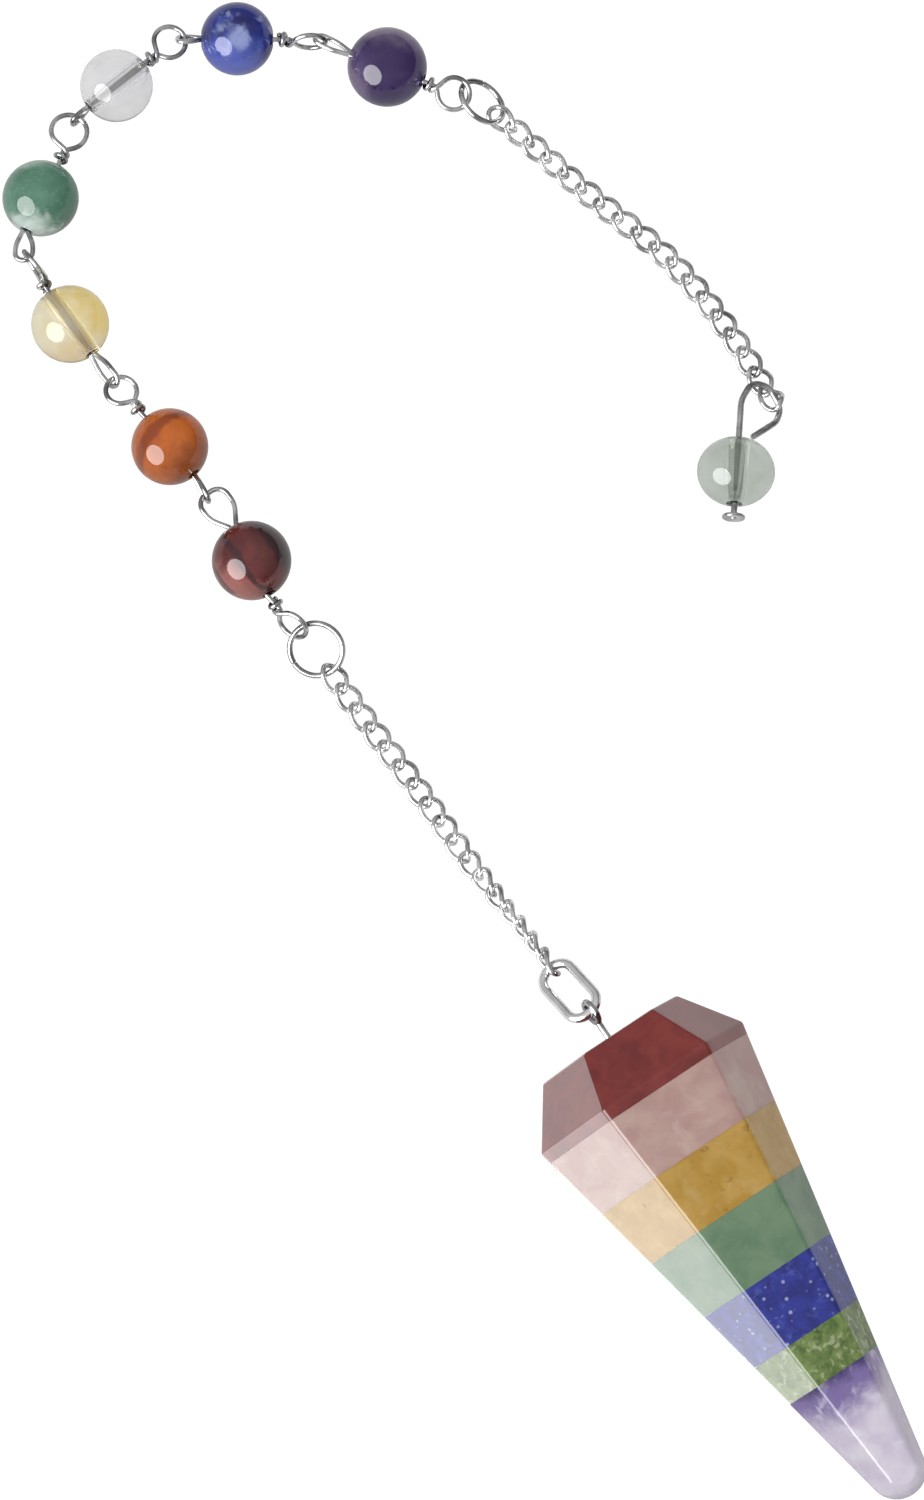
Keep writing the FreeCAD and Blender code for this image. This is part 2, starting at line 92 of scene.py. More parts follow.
def directions(turn: float, tilt: float, roll: float) -> tuple[Point, Point, Point]:
    """Directions of a loop, link or ring.

    Args:
        turn: heading of the outward direction in the table's plane, in degrees.
        tilt: rise of the outward direction, in degrees.
        roll: turn of the sideways direction about the outward one, in degrees.

    Returns:
        The outward, sideways and upward directions.
    """
    turn, tilt = math.radians(turn), math.radians(tilt)
    outward = np.array(
        (math.cos(tilt) * math.cos(turn), math.cos(tilt) * math.sin(turn), math.sin(tilt))
    )
    return rolled(outward, roll)


def rolled(outward: Point, roll: float) -> tuple[Point, Point, Point]:
    """The three directions of a piece that points outward and is rolled about that line."""
    level = unit(np.cross(UP, outward))
    angle = math.radians(roll)
    sideways = level * math.cos(angle) + np.cross(outward, level) * math.sin(angle)
    return outward, sideways, np.cross(outward, sideways)


def arc_between(start: Point, middle: Point, end: Point, turn: float) -> list[Point]:
    """Points of an arc about a middle, from a start to an end that lie a turn apart."""
    steps = max(2, math.ceil(turn / math.radians(ARC_STEP)))
    first, last = start - middle, end - middle
    points = []
    for k in range(steps + 1):
        share = k / steps
        blend = math.sin((1 - share) * turn) * first + math.sin(share * turn) * last
        points.append(middle + blend / math.sin(turn))
    return points


def rounded_path(corners: Sequence[Corner], closed: bool = False) -> np.ndarray:
    """A smooth path of straight runs and tangent arcs.

    Args:
        corners: each corner's point and the radius that rounds it.
        closed: whether the last corner runs back to the first.

    Returns:
        The path's points, one a row.
    """
    count = len(corners)
    path: list[Point] = []
    for i, (point, radius) in enumerate(corners):
        if not closed and i in (0, count - 1):
            path.append(point)
            continue
        back = corners[i - 1][0] - point
        ahead = corners[(i + 1) % count][0] - point
        back_length, ahead_length = np.linalg.norm(back), np.linalg.norm(ahead)
        back, ahead = back / back_length, ahead / ahead_length
        turn = math.pi - math.acos(float(np.clip(back @ ahead, -1, 1)))
        slope = math.tan(turn / 2)
        back_share = END_RUN_SHARE if not closed and i == 1 else RUN_SHARE
        ahead_share = END_RUN_SHARE if not closed and i == count - 2 else RUN_SHARE
        cut = min(radius * slope, back_length * back_share, ahead_length * ahead_share)
        middle = point + unit(back + ahead) * cut / math.sin(turn / 2)
        path += arc_between(point + back * cut, middle, point + ahead * cut, turn)
    return np.array(path)


def circle_path(
    centre: Point, across: Point, along: Point, radius: float, steps: int = 48
) -> np.ndarray:
    """A closed circle's points in the plane of two directions."""
    angles = np.arange(steps) * 2 * math.pi / steps
    return centre + radius * (np.outer(np.cos(angles), across) + np.outer(np.sin(angles), along))


class Spline:
    """A smooth curve through points, measured along its length."""

    FINE = 2000
    NEAR = 0.05

    def __init__(self, points: np.ndarray) -> None:
        """Fit a curve whose end stretches run on into their neighbours."""
        gaps = np.linalg.norm(np.diff(points, axis=0), axis=1)
        knots = np.concatenate(([0.0], np.cumsum(gaps)))
        count = len(points)
        system = np.zeros((count, count))
        target = np.zeros_like(points)
        for i in range(1, count - 1):
            system[i, i - 1 : i + 2] = gaps[i - 1], 2 * (gaps[i - 1] + gaps[i]), gaps[i]
            slope_after = (points[i + 1] - points[i]) / gaps[i]
            slope_before = (points[i] - points[i - 1]) / gaps[i - 1]
            target[i] = 6 * (slope_after - slope_before)
        system[0, :3] = gaps[1], -(gaps[0] + gaps[1]), gaps[0]
        system[-1, -3:] = gaps[-1], -(gaps[-1] + gaps[-2]), gaps[-2]
        bends = np.linalg.solve(system, target)
        self.marks = np.linspace(0, knots[-1], self.FINE)
        side = np.clip(np.searchsorted(knots, self.marks, side="right") - 1, 0, count - 2)
        gap = gaps[side][:, None]
        left = self.marks[:, None] - knots[side][:, None]
        right = gap - left
        self.points = (
            bends[side] * right**3 / (6 * gap)
            + bends[side + 1] * left**3 / (6 * gap)
            + (points[side] / gap - bends[side] * gap / 6) * right
            + (points[side + 1] / gap - bends[side + 1] * gap / 6) * left
        )
        steps = np.linalg.norm(np.diff(self.points, axis=0), axis=1)
        self.lengths = np.concatenate(([0.0], np.cumsum(steps)))
        self.knots = knots

    def at(self, length: float) -> tuple[Point, Point, float]:
        """Place, direction and knot mark at a length along the curve."""
        behind, place, ahead = (
            np.array([np.interp(spot, self.lengths, axis) for axis in self.points.T])
            for spot in (length - self.NEAR, length, length + self.NEAR)
        )
        return place, unit(ahead - behind), float(np.interp(length, self.lengths, self.marks))


class Surface:
    """The vertices and faces of one piece."""

    def __init__(self) -> None:
        """Start with nothing."""
        self.points: list[Point] = []
        self.faces: list[tuple[int, ...]] = []

    def grid(self, rows: Sequence[np.ndarray], closed: bool) -> None:
        """Join rows of points, each a closed ring, into a skin.

        Args:
            rows: rings of equally many points.
            closed: whether the last ring joins the first; otherwise both ends get a cap.
        """
        first = len(self.points)
        width = len(rows[0])
        for row in rows:
            self.points += list(row)
        count = len(rows)
        for i in range(count if closed else count - 1):
            here, there = first + i * width, first + (i + 1) % count * width
            for j in range(width):
                k = (j + 1) % width
                self.faces.append((here + j, here + k, there + k, there + j))
        if not closed:
            last = first + (count - 1) * width
            self.faces.append(tuple(range(first + width - 1, first - 1, -1)))
            self.faces.append(tuple(range(last, last + width)))

    def tube(self, path: np.ndarray, radius: float, closed: bool = False, sides: int = 14) -> None:
        """A round wire along a path; a free end is softly rounded."""
        if closed:
            ahead = np.roll(path, -1, axis=0) - np.roll(path, 1, axis=0)
        else:
            ahead = np.gradient(path, axis=0)
        ahead /= np.linalg.norm(ahead, axis=1)[:, None]
        across = [unit(np.cross(ahead[0], UP + 0.1 * ahead[0][::-1]))]
        for way in ahead[1:]:
            across.append(unit(across[-1] - way * (across[-1] @ way)))
        twist = 0.0
        if closed:
            back = unit(across[-1] - ahead[0] * (across[-1] @ ahead[0]))
            twist = math.atan2(np.cross(back, across[0]) @ ahead[0], back @ across[0])
        rows = []
        angles = np.arange(sides) * 2 * math.pi / sides
        for i, (point, way, side) in enumerate(zip(path, ahead, across)):
            turned = angles + twist * i / len(path)
            other = np.cross(way, side)
            ring = np.outer(np.cos(turned), side) + np.outer(np.sin(turned), other)
            rows.append((point, way, ring))
        skin = [point + ring * radius for point, _, ring in rows]
        if not closed:
            soft = WIRE_END_ROUND * radius
            for end, sign in ((rows[0], -1), (rows[-1], 1)):
                point, way, ring = end
                lip = []
                for out, inward in ((BEVEL_SHARE, 1 - BEVEL_SHARE), (1.0, 1.0)):
                    lip.append(point + sign * way * soft * out + ring * (radius - soft * inward))
                skin = lip[::-1] + skin if sign < 0 else skin + lip
        self.grid(skin, closed)

    def lathe(self, profile: np.ndarray, centre: Point, axis: Point, sides: int) -> None:
        """Turn a closed (along, out) profile about an axis."""
        across = unit(np.cross(axis, UP + 0.1 * axis[::-1]))
        other = np.cross(axis, across)
        rows = []
        for angle in np.arange(sides) * 2 * math.pi / sides:
            out = math.cos(angle) * across + math.sin(angle) * other
            rows.append(centre + np.outer(profile[:, 0], axis) + np.outer(profile[:, 1], out))
        self.grid(rows, closed=True)


# Layout


class Slot(Enum):
    """The record's material slots."""

    SILVER = "silver_wire"
    RED_JASPER = "red_jasper"
    ROSE_QUARTZ = "rose_quartz"
    CITRINE = "citrine"
    AVENTURINE = "green_aventurine"
    LAPIS = "lapis"
    MOSS_AGATE = "moss_agate"
    AMETHYST = "amethyst"
    CARNELIAN = "carnelian"
    CLEAR_QUARTZ = "clear_quartz"
    PALE_QUARTZ = "pale_quartz"


class Layout:
    """Where the layout's origin lies in the frame, and how pieces enter the scene."""

    def __init__(self, node: str, x: float, y: float) -> None:
        """Read the origin from a CAD node whose middle is known in the layout."""
        low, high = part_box(node)
        self.origin = np.array(((low.x + high.x) / 2, (low.y + high.y) / 2, 0.0))
        self.origin -= np.array((x, y, 0.0)) * MM

    def place(self, point: Point) -> Point:
        """A layout point in metres in the frame."""
        return self.origin + np.asarray(point) * MM

    def piece(
        self, name: str, surface: Surface, node: str, material: bpy.types.Material
    ) -> bpy.types.Object:
        """Make one visible piece that stands for a CAD node.

        Args:
            name: the piece's name.
            surface: its skin, in millimetres in the layout.
            node: the CAD node that it replaces.
            material: its finish.

        Returns:
            The new object, riding on the root body.
        """
        mesh = bpy.data.meshes.new(name)
        mesh.from_pydata([tuple(self.place(p)) for p in surface.points], [], surface.faces)
        shaped = bmesh.new()
        shaped.from_mesh(mesh)
        bmesh.ops.recalc_face_normals(shaped, faces=shaped.faces)
        shaped.to_mesh(mesh)
        shaped.free()
        mesh.polygons.foreach_set("use_smooth", [True] * len(mesh.polygons))
        mesh.set_sharp_from_angle(angle=math.radians(SHARP_ANGLE))
        mesh.materials.append(material)
        thing = bpy.data.objects.new(name, mesh)
        bpy.context.scene.collection.objects.link(thing)
        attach(thing, "root")
        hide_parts(node)
        log.info("%s: %d faces", name, len(mesh.polygons))
        return thing


# Finishes


def paint(red: int, green: int, blue: int, lit: float = 1.7) -> Colour:
    """The surface colour that shows as the given screen colour under this light.

    Args:
        red: screen red, 0 to 255.
        green: screen green.
        blue: screen blue.
        lit: how much light the surface gets; 1 shows its own colour.

    Returns:
        The linear colour.
    """
    channels = []
    for value in (red, green, blue):
        share = value / 255
        linear = share / 12.92 if share <= 0.04045 else ((share + 0.055) / 1.055) ** 2.4
        channels.append(min(linear / lit, 0.95))
    return channels[0], channels[1], channels[2]


class Nodes:
    """A node tree, filled one node at a time."""

    def __init__(self, tree: bpy.types.NodeTree) -> None:
        """Start from an empty tree."""
        self.tree = tree
        tree.nodes.clear()

    def add(self, kind: str, **settings: object) -> bpy.types.Node:
        """A node with its settings."""
        node = self.tree.nodes.new(kind)
        for key, value in settings.items():
            setattr(node, key, value)
        return node

    def feed(self, socket: bpy.types.NodeSocket, source: object) -> None:
        """Link a socket, or set its constant."""
        if isinstance(source, bpy.types.NodeSocket):
            self.tree.links.new(source, socket)
        elif isinstance(source, tuple) and len(source) == 3 and socket.type == "RGBA":
            socket.default_value = (*source, 1.0)
        else:
            socket.default_value = source

    def end(self, shader: bpy.types.Node, kind: str = "ShaderNodeOutputMaterial") -> None:
        """Link the last shader to the tree's output."""
        self.feed(self.add(kind).inputs["Surface"], shader.outputs[0])


class Graph(Nodes):
    """One material's nodes and the values that they give."""

    def __init__(self, name: str, centre: Point) -> None:
        """Start a material whose patterns are measured in millimetres from a centre in metres."""
        self.material = bpy.data.materials.new(name)
        self.material.use_nodes = True
        super().__init__(self.material.node_tree)
        shift = self.add("ShaderNodeVectorMath", operation="SUBTRACT")
        self.feed(shift.inputs[0], self.add("ShaderNodeTexCoord").outputs["Object"])
        self.feed(shift.inputs[1], tuple(centre))
        grow = self.add("ShaderNodeVectorMath", operation="SCALE")
        self.feed(grow.inputs[0], shift.outputs[0])
        self.feed(grow.inputs["Scale"], 1 / MM)
        self.place = grow.outputs[0]

    def noise(self, size: float, detail: float = 3, bend: float = 0, seed: float = 0) -> object:
        """Soft clouds of about the given size in millimetres."""
        node = self.add("ShaderNodeTexNoise", noise_dimensions="4D")
        self.feed(node.inputs["Vector"], self.place)
        self.feed(node.inputs["W"], seed)
        self.feed(node.inputs["Scale"], 1 / size)
        self.feed(node.inputs["Detail"], detail)
        self.feed(node.inputs["Distortion"], bend)
        return node.outputs["Fac"]

    def cells(self, size: float, seed: float = 0) -> object:
        """Distance to the nearest of scattered points."""
        node = self.add("ShaderNodeTexVoronoi", voronoi_dimensions="4D")
        self.feed(node.inputs["Vector"], self.place)
        self.feed(node.inputs["W"], seed)
        self.feed(node.inputs["Scale"], 1 / size)
        return node.outputs["Distance"]

    def span(self, value: object, low: float, high: float) -> object:
        """A value brought softly to 0 at low and to 1 at high."""
        node = self.add("ShaderNodeMapRange", interpolation_type="SMOOTHSTEP")
        self.feed(node.inputs["Value"], value)
        self.feed(node.inputs["From Min"], low)
        self.feed(node.inputs["From Max"], high)
        return node.outputs["Result"]

    def reckon(self, operation: str, first: object, second: object) -> object:
        """One sum of two values."""
        node = self.add("ShaderNodeMath", operation=operation)
        self.feed(node.inputs[0], first)
        self.feed(node.inputs[1], second)
        return node.outputs[0]

    def along(self, way: Point) -> object:
        """Millimetres from the centre along a direction."""
        node = self.add("ShaderNodeVectorMath", operation="DOT_PRODUCT")
        self.feed(node.inputs[0], self.place)
        self.feed(node.inputs[1], tuple(way))
        return node.outputs["Value"]

    def away(self) -> object:
        """Millimetres from the centre."""
        node = self.add("ShaderNodeVectorMath", operation="LENGTH")
        self.feed(node.inputs[0], self.place)
        return node.outputs["Value"]

    def mix(self, share: object, first: object, second: object) -> object:
        """A blend of two colours."""
        node = self.add("ShaderNodeMix", data_type="RGBA")
        self.feed(node.inputs["Factor"], share)
        self.feed(node.inputs[6], first)
        self.feed(node.inputs[7], second)
        return node.outputs[2]

    def bump(self, height: object, depth: float) -> object:
        """A surface normal from a height, with a depth in millimetres."""
        node = self.add("ShaderNodeBump")
        self.feed(node.inputs["Height"], height)
        self.feed(node.inputs["Distance"], depth * MM)
        return node.outputs["Normal"]

    def principled(self, **sockets: object) -> bpy.types.Material:
        """Finish the material with one shader; each keyword is a socket, spaces as underscores."""
        shader = self.add("ShaderNodeBsdfPrincipled")
        for key, value in sockets.items():
            self.feed(shader.inputs[key.replace("_", " ")], value)
        self.end(shader)
        return self.material


@dataclass(frozen=True)
class Silver:
    """Bright silver-plated wire with fine draw marks."""

    tone: Colour = (0.66, 0.66, 0.67)
    dull: Colour = (0.24, 0.24, 0.25)
    # Painted shade: the dark colour that the wire takes inside a bead's hole.
    hole_shade: Colour = (0.05, 0.035, 0.02)
    stain_size: float = 1.6
    stain_span: tuple[float, float] = (0.38, 0.66)
    grain: float = 0.35
    depth: float = 0.012
    roughness: float = 0.05
    wear: float = 0.16
    fade: float = 0.3

    def material(self, name: str, centre: Point, hidden: float = 0.0) -> bpy.types.Material:
        """The wire's material about a centre, darkened by painted shade as far as it lies hidden
        in a bead's hole.
        """
        graph = Graph(name, centre)
        stain = graph.span(graph.noise(self.stain_size, 4), *self.stain_span)
        marks = graph.noise(self.grain, 5, 0.4, seed=3)
        colour = graph.mix(stain, self.tone, self.dull)
        if hidden:
            # Painted shade: the wire turns dark where it lies inside the bead's hole.
            outside_hole = graph.span(graph.away(), hidden - self.fade, hidden)
            colour = graph.mix(outside_hole, self.hole_shade, colour)
        return graph.principled(
            Base_Color=colour,
            Metallic=1.0,
            Roughness=graph.reckon(
                "ADD", graph.reckon("MULTIPLY", marks, self.wear), self.roughness
            ),
            Normal=graph.bump(marks, self.depth),
        )


@dataclass(frozen=True)
class Flecks:
    """Small spots or patches of another colour."""

    colour: Colour
    size: float
    low: float
    high: float
    strength: float = 1.0
    round_spots: bool = False


@dataclass(frozen=True)
class Bands:
    """Wavy bands of another colour across a direction."""

    colour: Colour
    way: tuple[float, float, float]
    pitch: float
    wander: float
    low: float
    high: float
    strength: float = 1.0


@dataclass(frozen=True)
class Shade:
    """A colour that comes in along a direction, from one distance to another: the stones' own
    colour zoning in the point's layers, and painted light and shade on the beads' sides.
    """

    colour: Colour
    way: tuple[float, float, float]
    start: float
    end: float
    ragged: float = 0.8
    strength: float = 1.0


@dataclass(frozen=True)
class Gem:
    """A polished stone: clouds of two colours, then patterns laid over them in turn."""

    pale: Colour
    deep: Colour
    cloud: float = 1.6
    low: float = 0.35
    high: float = 0.65
    patterns: tuple[object, ...] = ()
    clear: float = 0.0
    roughness: float = 0.02
    wear: float = 0.06
    wear_size: float = 0.5
    ripple: float = 0.012
    ripple_size: float = 2.4
    glow: float = 0.0
    glow_depth: float = 1.2
    ior: float = 1.54
    seed: float = 0.0

    def pattern(self, graph: Graph, colour: object, layer: object, seed: float) -> object:
        """Lay one pattern over a colour."""
        if isinstance(layer, Flecks):
            spots = graph.cells(layer.size, seed) if layer.round_spots else None
            value = spots or graph.noise(layer.size, 6, 0.6, seed)
            share = graph.span(value, layer.low, layer.high)
        elif isinstance(layer, Bands):
            across = graph.reckon("DIVIDE", graph.along(unit(np.array(layer.way))), layer.pitch)
            wander = graph.reckon("MULTIPLY", graph.noise(3.2, 2, 0.5, seed), layer.wander)
            wave = graph.reckon("SINE", graph.reckon("ADD", across, wander), 0.0)
            share = graph.span(wave, layer.low, layer.high)
        else:
            reach = graph.along(unit(np.array(layer.way)))
            rough = graph.reckon("SUBTRACT", graph.noise(1.8, 4, 0.8, seed), 0.5)
            rough = graph.reckon("MULTIPLY", rough, 4 * layer.ragged)
            share = graph.span(graph.reckon("ADD", reach, rough), layer.start, layer.end)
        share = graph.reckon("MULTIPLY", share, layer.strength)
        return graph.mix(share, colour, layer.colour)

    def material(self, name: str, centre: Point) -> bpy.types.Material:
        """The stone's material about a centre."""
        graph = Graph(name, centre)
        cloud = graph.span(graph.noise(self.cloud, 6, 0.5, self.seed), self.low, self.high)
        colour = graph.mix(cloud, self.pale, self.deep)
        for step, layer in enumerate(self.patterns, start=1):
            colour = self.pattern(graph, colour, layer, self.seed + 1.7 * step)
        wear = graph.noise(self.wear_size, 4, seed=self.seed + 9)
        rough = graph.reckon("ADD", graph.reckon("MULTIPLY", wear, self.wear), self.roughness)
        ripple = graph.noise(self.ripple_size, 2, seed=self.seed + 5)
        sockets = dict(
            Base_Color=colour,
            Roughness=rough,
            IOR=self.ior,
            Transmission_Weight=self.clear,
            Normal=graph.bump(ripple, self.ripple),
        )
        if self.glow:
            sockets.update(
                Subsurface_Weight=self.glow,
                Subsurface_Radius=(1.0, 1.0, 1.0),
                Subsurface_Scale=self.glow_depth * MM,
            )
        return graph.principled(**sockets)


SILVER = Silver()
# A paler copy of the same silver for the chains: painted light, so that the links look more
# brightly lit than the other wire.
LIT_CHAIN_SILVER = Silver(tone=(0.84, 0.84, 0.85), dull=(0.42, 0.42, 0.43))
# The palest copy, for the bail ring: painted light, so that it looks more brightly lit than the
# other rings.
LIT_BAIL_SILVER = Silver(tone=(0.98, 0.98, 0.98), dull=(0.84, 0.84, 0.85))

# The stone's axis and its side and upward directions decide where its colours change.
POINT_TURN = -55.8
POINT_FACET = 9.83

LAYER_FINISHES = {
    "stone_red_jasper": Gem(
        paint(130, 50, 44), paint(110, 36, 38), cloud=2.6, glow=0.1, seed=1,
        patterns=(Flecks(paint(125, 60, 52), 1.1, 0.55, 0.75, 0.5),),
    ),
    "stone_rose_quartz": Gem(
        paint(192, 162, 152), paint(180, 144, 138), cloud=2.6, glow=0.35, seed=2,
        patterns=(
            Flecks(paint(204, 184, 174), 1.5, 0.5, 0.75, 0.5),
            Shade(paint(174, 128, 122), (0.0, 1.0, 0.0), 2.2, 4.2, 0.5, 0.5),
        ),
    ),
    "stone_citrine": Gem(
        paint(192, 154, 76), paint(178, 138, 50), cloud=2.0, glow=0.3, seed=3,
        patterns=(
            Flecks(paint(204, 176, 118), 1.3, 0.5, 0.75, 0.45),
            Flecks(paint(128, 84, 34), 0.6, 0.62, 0.7, 0.55),
            Shade(paint(150, 100, 40), (-0.54, 0.8, 0.0), 1.9, 3.4, 0.7, 0.6),
        ),
    ),
    "stone_green_aventurine": Gem(
        paint(114, 142, 112), paint(94, 126, 98), cloud=2.6, glow=0.3, seed=4,
        patterns=(Flecks(paint(128, 152, 128), 0.5, 0.56, 0.72, 0.4),),
    ),
    "stone_lapis": Gem(
        paint(44, 54, 150), paint(32, 38, 118), cloud=1.1, glow=0.1, seed=5,
        patterns=(
            Flecks(paint(74, 88, 172), 0.8, 0.52, 0.68, 0.65),
            Flecks(paint(168, 178, 208), 0.62, 0.32, 0.12, 0.85, round_spots=True),
        ),
    ),
    "stone_moss_agate": Gem(
        paint(118, 140, 78), paint(74, 100, 44), cloud=0.8, glow=0.2, seed=6,
        patterns=(
            Flecks(paint(168, 176, 136), 0.6, 0.54, 0.66, 0.8),
            Flecks(paint(58, 82, 38), 0.5, 0.6, 0.7, 0.7),
        ),
    ),
    "stone_amethyst": Gem(
        paint(220, 212, 226), paint(206, 196, 216), cloud=2.2, glow=0.3, seed=7,
        patterns=(
            Shade(paint(112, 92, 158), (-0.5, 0.6, 0.6), -0.6, 2.2, 0.7, 0.9),
            Shade(paint(46, 24, 96), (-0.5, 0.6, 0.6), 2.4, 3.8, 0.5, 0.95),
            Flecks(paint(226, 222, 234), 1.3, 0.5, 0.7, 0.6),
        ),
    ),
}

BEAD_FINISHES = {
    "red_jasper": Gem(
        paint(102, 44, 42, 1.5), paint(84, 34, 38, 1.5), cloud=2.2, seed=11,
        patterns=(
            # Painted light: paler on the lower-left side, which faces the lamps.
            Shade(paint(182, 112, 104, 1.5), (-0.5, -0.85, -0.2), 0.8, 2.7, 0.9, 0.7),
            Bands(paint(50, 26, 32, 1.5), (0.7, 0.5, 0.2), 0.42, 5.0, 0.62, 0.95, 0.75),
            # Painted shade: darker on the upper-right side, away from the lamps.
            Shade(paint(46, 38, 42, 1.5), (0.8, 0.6, 0.1), 0.3, 2.4, 0.6, 0.85),
        ),
    ),
    "carnelian": Gem(
        paint(188, 98, 32, 1.5), paint(166, 80, 24, 1.5), cloud=2.4, glow=0.2, seed=12,
        patterns=(
            Bands(paint(122, 50, 24, 1.5), (0.6, -0.7, 0.2), 0.62, 4.0, 0.45, 0.95, 0.7),
            Flecks(paint(208, 128, 56, 1.5), 1.5, 0.56, 0.75, 0.6),
            # Painted shade: darker on the lower-right side, away from the lamps.
            Shade(paint(120, 62, 38, 1.5), (0.8, -0.6, 0.2), 1.0, 2.8, 0.7, 0.6),
        ),
    ),
    "citrine": Gem(
        paint(248, 244, 226, 1.0), paint(240, 228, 186, 1.0), cloud=2.2, clear=0.82, seed=13,
        patterns=(
            # Painted shade: deeper yellow on the upper-right side, away from the lamps.
            Shade(paint(232, 200, 84, 1.0), (0.8, 0.6, 0.0), -0.4, 2.2, 0.9, 0.85),
            # Painted shade: warmer and darker towards the bottom of the ball.
            Shade(paint(228, 190, 140, 1.0), (0.1, -1.0, -0.2), 1.0, 3.0, 0.8, 0.6),
        ),
    ),
    "aventurine": Gem(
        paint(96, 138, 118, 1.5), paint(78, 120, 100, 1.5), cloud=1.8, glow=0.25, seed=14,
        patterns=(
            # Painted shade: darker green on the right side, away from the lamps.
            Shade(paint(68, 112, 92, 1.5), (1.0, 0.1, 0.0), 0.2, 2.6, 0.9, 0.6),
            # Painted light: paler towards the bottom, the side that faces the lamps.
            Shade(paint(214, 228, 222, 1.5), (-0.25, -1.0, -0.1), 1.5, 2.9, 0.8, 0.95),
            # Painted light: paler towards the top of the ball.
            Shade(paint(158, 182, 168, 1.5), (0.0, 0.95, 0.1), 1.5, 2.9, 0.8, 0.8),
            Flecks(paint(120, 158, 138, 1.5), 0.35, 0.56, 0.7, 0.4),
        ),
    ),
    "clear_quartz": Gem(
        paint(250, 250, 251, 1.0), paint(234, 234, 237, 1.0), cloud=2.0, clear=0.88, seed=15,
    ),
    "lapis": Gem(
        paint(36, 46, 126, 1.5), paint(24, 28, 84, 1.5), cloud=1.6, seed=16,
        patterns=(
            Flecks(paint(58, 74, 156, 1.5), 1.0, 0.5, 0.66, 0.8),
            Flecks(paint(150, 160, 200, 1.5), 1.5, 0.6, 0.68, 0.5),
            # Painted light: lighter blue towards the bottom, the side that faces the lamps.
            Shade(paint(90, 104, 192, 1.5), (-0.2, -1.0, 0.1), 0.5, 2.5, 0.8, 0.85),
            # Painted sheen: a pale patch on the side that faces the camera.
            Shade(paint(152, 164, 206, 1.5), (-0.1, -0.36, 0.93), 2.5, 3.4, 1.3, 0.7),
        ),
    ),
    "amethyst": Gem(
        paint(62, 46, 94, 1.5), paint(48, 30, 78, 1.5), cloud=2.4, glow=0.1, seed=17,
        patterns=(
            # Painted reflection: a greyish cap towards the top of the ball.
            Shade(paint(128, 114, 136, 1.5), (0.3, 1.0, 0.35), 1.0, 3.0, 0.5, 0.7),
            # Painted light: paler on the left side, which faces the lamps.
            Shade(paint(126, 108, 142, 1.5), (-1.0, -0.2, 0.0), 1.6, 3.1, 0.6, 0.6),
        ),
    ),
}
END_FINISH = Gem(
    paint(210, 217, 209, 1.0), paint(190, 199, 190, 1.0), cloud=2.0, clear=0.88, seed=18
)


# Sub-assemblies


